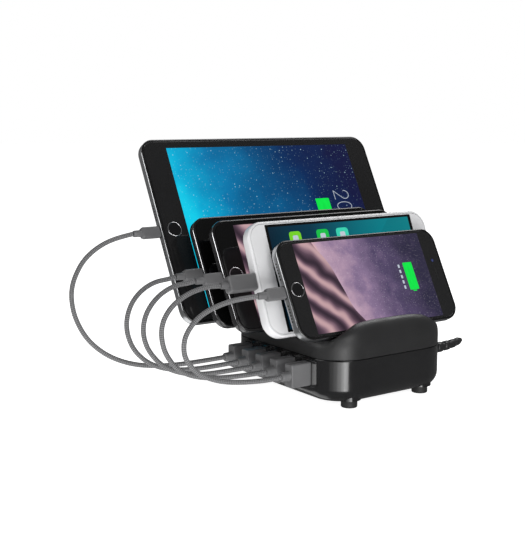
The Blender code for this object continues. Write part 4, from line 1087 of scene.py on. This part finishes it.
def make_upper_shell(outline, sharp=50):
    """The lid: its rim rises into the hood and the back rest, round a deck with grooves and slots."""
    outside = [fine_curve(rim_profile(p, n, EDGE_OUTSIDE, HOOD_OUTSIDE, REST_OUTSIDE)) for p, n in outline]
    inside = [rim_profile(p, n, EDGE_INSIDE, HOOD_INSIDE, REST_INSIDE) for p, n in outline]
    low = SEAM + CLEAR / 2
    rings = [section_ring(outline, inside, level, WALL + CLEAR)
             for level in reversed(range(len(EDGE_INSIDE)))]
    rings += [base_ring(outline, inset, z) for inset, z in (
        (LIP, SEAM + EDGE_INSIDE[0][1]), (LIP, low), (0.0004, low), (0.0001, low + 0.00012),
        (0.0, low + 0.0004), (0.0, low + 0.0010))]
    rings += [section_ring(outline, outside, level, least_rise=0.0015) for level in range(1, len(outside[0]))]
    hood = loose("base_upper", ring_mesh(rings), sharp)
    for x, y in four_places(SCREW_X, SCREW_Y):
        post = rod(0.0035, 0.0092, SEAM + 0.0098)
        bore(hood, "post", post, (x, y, 0.0), 24, operation="UNION", sharp=sharp)
    for device in DEVICES:
        front = rest_point(device).y + 0.0005
        groove = box_mesh((BASE_X - BASE_LENGTH, front, groove_floor(device)),
                          (BASE_X + BASE_LENGTH, front + device.thick, DECK + 0.0002))
        carve(hood, loose("tool_groove", groove), sharp=sharp)
    half = DIVIDER_LENGTH / 2 + CLEAR
    for index in range(len(DEVICES) - 1):
        turn = (Matrix.Translation((BASE_X, DIVIDER_1_Y + BAY_PITCH * index, DECK))
                @ Matrix.Rotation(-DIVIDER_LEAN, 4, "X"))
        slot = box_mesh((-half, -CLEAR, -DIVIDER_ROOT - CLEAR), (half, DIVIDER_THICK + CLEAR, 0.004))
        carve(hood, loose("tool_slot", slot, turn=turn), sharp=sharp)
    show(hood, "hood_black", "station", "upper_shell", slot="upper_plastic")


def make_feet():
    for number, (x, y) in enumerate(four_places(FOOT_X, FOOT_Y), 1):
        profile = [(FOOT_RADIUS - 0.0024, 0.0003), (FOOT_RADIUS - 0.0020, 0.0), (FOOT_RADIUS - 0.0008, 0.0),
                   (FOOT_RADIUS - 0.0003, 0.00015), (FOOT_RADIUS, 0.0006), (FOOT_RADIUS, FOOT_HEIGHT)]
        foot = loose(f"rubber_foot_{number}", turned_mesh(profile, (x, y, 0.0), 48))
        show(foot, "foot_rubber", "station", f"foot_{number}", slot="foot_rubber")


def make_base():
    outline = base_outline()
    make_lower_shell(outline)
    make_upper_shell(outline)
    make_feet()


# ---------------------------------------------------------------- the docked devices
# The screen and the earpiece are (left, low, right, high) on the face, the lens (across, up, radius).
Face = namedtuple("Face", "case slot glass screen picture earpiece lens")
FACES = {
    "phone_1": Face("silver", "silver_metal", "grey_glass", (0.0140, 0.0031, 0.1236, 0.0645), "dusk",
                    (0.1295, 0.0292, 0.1307, 0.0374), (0.1301, 0.0432, 0.0011)),
    "phone_2": Face("white", "white_plastic", "white", (0.0167, 0.0043, 0.1411, 0.0732), "facets",
                    (0.1496, 0.0330, 0.1508, 0.0446), None),
    "phone_3": Face("graphite", "graphite_metal", "black_glass", (0.0176, 0.0042, 0.1430, 0.0746), "dusk",
                    (0.1510, 0.0340, 0.1522, 0.0450), None),
    "phone_4": Face("graphite", "graphite_metal", "black_glass", None, None,
                    (0.1510, 0.0340, 0.1522, 0.0450), None),
    "tablet": Face("silver", "silver_metal", "grey_glass", (0.0206, 0.0072, 0.1861, 0.1310), "ocean",
                   None, (0.1960, 0.0691, 0.0013)),
}
PANEL = (0.0146, 0.0026, 0.1438, 0.0749)       # phone_2's black panel under its white face
LAYER = 0.00006                     # thickness of a lit layer, and its step in front of the glass


def put_on(device, name, bm, look, *nodes, body=None, slot="display_glass"):
    """Shows a shape given in a device's own directions."""
    thing = loose(f"{device.name}_{name}", bm, turn=device_matrix(device))
    show(thing, look, body or device.name, *nodes, slot=slot)


def plate(device, name, area, look, level=0, corner=0.0002):
    """A thin lit or printed layer on a device's face, with its own 0 to 1 UVs."""
    u0, v0, u1, v1 = area
    front = -LAYER * (level + 1)
    outline = rounded_rectangle(u1 - u0, v1 - v0, corner, 5)
    middle_u, middle_v = (u0 + u1) / 2, (v0 + v1) / 2
    rings = [[(middle_u + a, y, middle_v + b) for a, b in outline] for y in (front + LAYER * 0.9, front)]
    bm = ring_mesh(rings)
    uv = bm.loops.layers.uv.new("UVMap")
    for face in bm.faces:
        for loop in face.loops:
            spot = loop.vert.co
            loop[uv].uv = ((spot.x - u0) / (u1 - u0), (spot.z - v0) / (v1 - v0))
    put_on(device, name, bm, look)


DISC_THICK, DISC_BEVEL = 0.0001, 0.00004       # a small disc, and the bevel round its face


def disc(device, name, place, radius, look, axis):
    profile = [(radius * 0.5, 0.0), (radius * 0.97, 0.0), (radius, DISC_BEVEL), (radius, DISC_THICK)]
    put_on(device, name, turned_mesh(profile, place, 24, axis), look)


def device_ring(device, inset, y):
    outline = rounded_rectangle(device.length - 2 * inset, device.height - 2 * inset,
                                device.corner - inset, 14)
    return [(device.length / 2 + a, y, device.height / 2 + b) for a, b in outline]


def edge_point(degrees, proud=0.0):
    """Inset and depth of a point on the rounded front edge, or this far outside it."""
    angle, radius = math.radians(degrees), FRONT_EDGE + proud
    return FRONT_EDGE - radius * math.sin(angle), FRONT_EDGE - radius * math.cos(angle)


def edge_band(device, name, sections, look, slot):
    """A closed band round the front edge of a device, through sections of (inset, depth)."""
    rings = [device_ring(device, inset, y) for inset, y in sections]
    put_on(device, name, ring_mesh(rings, looped=True), look, slot=slot)


def make_home_button(device, case, glass):
    """Cuts the opening in the case and the glass, and makes the cap and its metal ring."""
    along, radius = HOME_BUTTONS[device.name]
    place, body = (along, 0.0, device.height / 2), f"{device.name}_home"
    for target in (case, glass):
        bore(target, "home", rod(radius + CLEAR, -0.001, 0.0020), place, 48, "Y")
    dish = [(radius * 0.5, 0.00032), (radius - 0.0014, 0.00026), (radius - 0.0008, 0.00020),
            (radius - 0.0001, 0.00012), (radius, 0.0002), (radius, 0.0012)]
    put_on(device, "home_cap", turned_mesh(dish, place, 48, "Y"), "button_glass",
           f"{device.name}_home_button", body=body, slot="button_glass")
    inner, outer, bevel = radius - 0.00055, radius - 0.00005, 0.00008
    front, shoulder, back = 0.00004, 0.000088, 0.00016
    band = [(inner, back), (inner, shoulder), (inner + bevel, front), (outer - bevel, front),
            (outer, shoulder), (outer, back)]
    look = "graphite" if device.name == "phone_4" else "polished"
    put_on(device, "home_ring", turned_mesh(band, place, 48, "Y", looped=True), look, body=body,
           slot="button_glass")


def make_case(device):
    """The case with its charging socket and key well, the cover glass, and the home button."""
    name, face = device.name, FACES[device.name]
    middle_y, middle_z = device.thick / 2, device.height / 2
    sections = [(RIM, RECESS), (RIM, 0.0)] + quarter(FRONT_EDGE, 5)
    sections += [(inset, device.thick - rise) for inset, rise in reversed(quarter(BACK_EDGE, 7))]
    case = loose(f"{name}_shell", ring_mesh([device_ring(device, inset, y) for inset, y in sections]))
    socket = [(x, 0.0034, 0.0092, 0.0010) for x in (-0.002, 0.0070)]
    carve(case, loose("tool_socket", stacked_mesh(socket, (0.0, middle_y, middle_z), 4)))
    inset = RIM + CLEAR
    sections = ((inset, GLASS_THICK), (inset, 0.0002), (inset + 0.0001, 0.00005), (inset + 0.0003, 0.0))
    glass = loose(f"{name}_face", ring_mesh([device_ring(device, reach, y) for reach, y in sections]))
    if name in HOME_BUTTONS:
        make_home_button(device, case, glass)
    if name in SIDE_BUTTON_X:
        half, side, centre = KEY_HALF_LENGTH + CLEAR, KEY_HALF_WIDTH + CLEAR, SIDE_BUTTON_X[name]
        carve(case, loose("tool_key", box_mesh((centre - half, middle_y - side, device.height - 0.0022),
                                               (centre + half, middle_y + side, device.height + 0.0020))))
    for thing in (case, glass):
        thing.data.transform(device_matrix(device))
    show(case, face.case, name, f"{name}_case", slot=face.slot)
    show(glass, face.glass, name, f"{name}_glass", slot="display_glass")


def make_trim(device):
    """A black rim over the front edge, a polished chamfer on the dark cases, and black discs of painted shade for the
    speaker holes.
    """
    over = [edge_point(52 * k / 6, 0.00004) for k in range(7)]
    under = [tuple(value + 0.0001 for value in edge_point(degrees)) for degrees in (52, 0)]
    edge_band(device, "rim", [(RIM, -0.00004)] + over + under + [(RIM, 0.0001)], "rim_black",
              "display_glass")
    if FACES[device.name].case == "graphite":
        chamfer = ((58, -0.0001), (60, 0.00004), (68, 0.00005), (76, 0.00004), (78, -0.0001))
        edge_band(device, "chamfer", [edge_point(*section) for section in chamfer], "polished",
                  "graphite_metal")
    # the speaker holes are not cut: black discs on the end face stand in for them, and their black is painted shade
    for side, letter in ((-1, "a"), (1, "b")):
        for k in range(6):
            place = (-DISC_BEVEL, device.thick / 2, device.height / 2 + side * (0.0090 + 0.0021 * k))
            disc(device, f"speaker_{letter}{k + 1}", place, 0.00062, "hole_black", "X")


def make_device(device):
    face = FACES[device.name]
    make_case(device)
    if device.name == "phone_2":
        plate(device, "panel", PANEL, "black_glass", 0, 0.0006)
    else:
        make_trim(device)
    if face.screen:
        plate(device, "screen", face.screen, face.picture, 1 if device.name == "phone_2" else 0)
    if device.name in MARKERS:
        MARKERS[device.name](device)
    if face.lens:
        across, up, radius = face.lens
        disc(device, "lens", (across, -LAYER, up), radius, "lens_blue", "Y")
    # the earpiece slot is not cut: a flat black plate of painted shade stands in for it
    if face.earpiece:
        plate(device, "earpiece", face.earpiece, "hole_black", 0, 0.0005)


# Strokes of plain figures in a box 1 wide and 1 high.
FIGURES = {
    "0": [(0.5 + 0.42 * math.sin(math.radians(15 * k)), 0.5 + 0.5 * math.cos(math.radians(15 * k)))
          for k in range(25)],
    "2": [(0.5 - 0.42 * math.cos(math.radians(18 * k)), 0.70 + 0.30 * math.sin(math.radians(18 * k)))
          for k in range(12)] + [(0.62, 0.38), (0.06, 0.0), (0.94, 0.0)],
    "4": [(0.72, 0.0), (0.72, 1.0), (0.05, 0.28), (0.98, 0.28)],
    "5": [(0.88, 1.0), (0.22, 1.0), (0.12, 0.56), (0.50, 0.64), (0.80, 0.52), (0.92, 0.32), (0.78, 0.10),
          (0.46, 0.0), (0.08, 0.10)],
}
FIGURE_WIDTH, FIGURE_HEIGHT, FIGURE_BASE = 0.0082, 0.0142, 0.1592
PEN = 0.00045


def make_figure(device, name, strokes, right_v):
    """One clock figure, written across the device: it reads down the face, its top towards +X."""
    bm = bmesh.new()
    points = [(FIGURE_BASE + y * FIGURE_HEIGHT, right_v - x * FIGURE_WIDTH) for x, y in strokes]
    front = -2 * LAYER
    for (u0, v0), (u1, v1) in zip(points, points[1:]):
        along = Vector((u1 - u0, 0.0, v1 - v0)).normalized()
        across = Vector((-along.z, 0.0, along.x)) * PEN / 2
        start, end = Vector((u0, 0.0, v0)) - along * PEN / 3, Vector((u1, 0.0, v1)) + along * PEN / 3
        near = [start - across, end - across, end + across, start + across]
        low = [bm.verts.new((p.x, front + LAYER * 0.9, p.z)) for p in near]
        high = [bm.verts.new((p.x, front, p.z)) for p in near]
        bm.faces.new(high)
        bm.faces.new(list(reversed(low)))
        for i in range(4):
            j = (i + 1) % 4
            bm.faces.new((low[i], low[j], high[j], high[i]))
    bm.loops.layers.uv.new("UVMap")
    put_on(device, name, bm, "lit_white")


def mark_phone_1(device):
    plate(device, "battery", (0.1015, 0.0240, 0.1097, 0.0438), "lit_green", 1, 0.0006)
    plate(device, "battery_tip", (0.1040, 0.0229, 0.1072, 0.0237), "lit_green", 1)
    for k in range(5):
        low = 0.0252 + 0.0038 * k
        plate(device, f"mark_{k + 1}", (0.0967, low, 0.0983, low + 0.0024), "lit_white", 1, 0.0003)


def mark_phone_2(device):
    tiles = ((0.0326, 0.0424, "tile_lime"), (0.0556, 0.0660, "tile_green"), (0.0727, 0.0833, "tile_mint"))
    for number, (u0, u1, look) in enumerate(tiles, 1):
        plate(device, f"tile_{number}", (u0, 0.0590, u1, 0.0690), look, 2, 0.0022)
        middle = (u0 + u1) / 2
        plate(device, f"tile_mark_{number}", (middle - 0.0022, 0.0618, middle + 0.0022, 0.0662), "lit_white",
              3, 0.0010)


def mark_tablet(device):
    plate(device, "battery", (0.1396, 0.0610, 0.1527, 0.0855), "lit_green", 1, 0.0008)
    plate(device, "battery_tip", (0.1436, 0.0598, 0.1487, 0.0607), "lit_green", 1, 0.0003)
    for number, (figure, right) in enumerate(zip("2045", (0.0917, 0.0821, 0.0665, 0.0569)), 1):
        make_figure(device, f"figure_{number}", FIGURES[figure], right)
    for number, low in enumerate((0.1628, 0.1690), 1):
        plate(device, f"colon_{number}", (low, 0.0697, low + 0.0009, 0.0706), "lit_white", 1, 0.0003)


MARKERS = {"phone_1": mark_phone_1, "phone_2": mark_phone_2, "tablet": mark_tablet}


# ---------------------------------------------------------------- carried-over CAD parts
def dress_cad_parts():
    """Better materials for the CAD pieces whose shape is right as it is."""
    wear = {"main_board": "board", "power_inductor": "ferrite", "dc_jack": "jack_black",
            "adapter_pins": "contact"}
    for name, count, look in (("divider", 4, "hood_black"), ("case_screw", 4, "steel"),
                              ("usb_socket", 5, "contact")):
        for number in range(count):
            wear[f"{name}_{number + 1}"] = look
    for name in SIDE_BUTTON_X:
        wear[f"{name}_side_button"] = "graphite"
    for name, look in wear.items():
        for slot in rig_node(name).material_slots:
            slot.material = LOOKS[look]


# ---------------------------------------------------------------- studio
WHITE = (1.0, 1.0, 1.0, 1.0)
FLOOR_DROP = 0.0002                 # the floor lies just under the table's plane


def area_light(name, place, target, size, energy, tall=None):
    light = bpy.data.lights.new(name, "AREA")
    light.shape, light.size, light.size_y = "RECTANGLE", size, tall or size
    light.energy = energy
    thing = bpy.data.objects.new(name, light)
    thing.location = place
    thing.rotation_mode = "QUATERNION"
    thing.rotation_quaternion = (Vector(place) - Vector(target)).to_track_quat("Z", "Y")
    bpy.context.scene.collection.objects.link(thing)


def make_world():
    """White to the camera and dim to everything else, so that the lights shape the dark surfaces."""
    world = bpy.data.worlds.new("studio")
    bpy.context.scene.world = world
    world.use_nodes = True
    tree = world.node_tree
    seen = add(tree, "ShaderNodeLightPath").outputs["Is Camera Ray"]
    level = add(tree, "ShaderNodeMapRange", {"Value": seen, "To Min": 0.13, "To Max": 1.0}).outputs[0]
    background = tree.nodes["Background"]
    background.inputs["Color"].default_value = WHITE
    tree.links.new(level, background.inputs["Strength"])


def make_floor():
    """A wide pale floor that glows, so that it runs into the backdrop without a line."""
    bm = bmesh.new()
    bmesh.ops.create_circle(bm, cap_ends=True, radius=6.0, segments=96)
    floor = loose("floor", bm)
    material, _, _ = new_material("pale_floor", {"Base Color": (0.9, 0.9, 0.9, 1.0), "Roughness": 0.9,
                                                 "Specular IOR Level": 0.0, "Emission Color": WHITE,
                                                 "Emission Strength": 0.92})
    floor.data.materials.append(material)
    floor.location.z = -FLOOR_DROP
    floor.visible_glossy = False
    floor.visible_shadow = False
    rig.stage(floor)


def make_lights():
    """Soft boxes over, before and beside the object, one below it, and strips round its front corner."""
    target = (0.0, -0.02, 0.05)
    area_light("hood_box", (0.85, 0.12, 1.25), target, 0.7, 9.0)
    area_light("front_box", (-0.35, -1.5, 0.75), target, 0.8, 7.0)
    area_light("left_box", (-1.4, 0.3, 0.5), target, 0.7, 4.5)
    area_light("low_box", (-0.39, 0.70, -1.15), target, 0.9, 3.0)
    corner_x, corner_y, reach = -0.03, -0.06, 1.5
    strips = ((-153, 0.4), (-141, 1.0), (-129, 2.4), (-117, 4.4), (-107, 5.6))     # degrees round, energy
    for number, (angle, energy) in enumerate(strips):
        turn = math.radians(angle)
        place = (corner_x + reach * math.cos(turn), corner_y + reach * math.sin(turn), -0.38)
        area_light(f"corner_strip_{number}", place, (corner_x, corner_y, 0.02), 0.31, energy, 0.7)


make_camera()
LOOKS = make_looks()
make_cables()
make_supply()
make_base()
for device in DEVICES:
    make_device(device)
dress_cad_parts()
make_world()
make_floor()
make_lights()
bpy.context.scene.view_settings.view_transform = "Standard"

low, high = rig.bounds()
with open("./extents.json", "w") as sizes:
    json.dump({"cad_box": [list(cad_low), list(cad_high)], "visual_box": [list(low), list(high)]}, sizes)
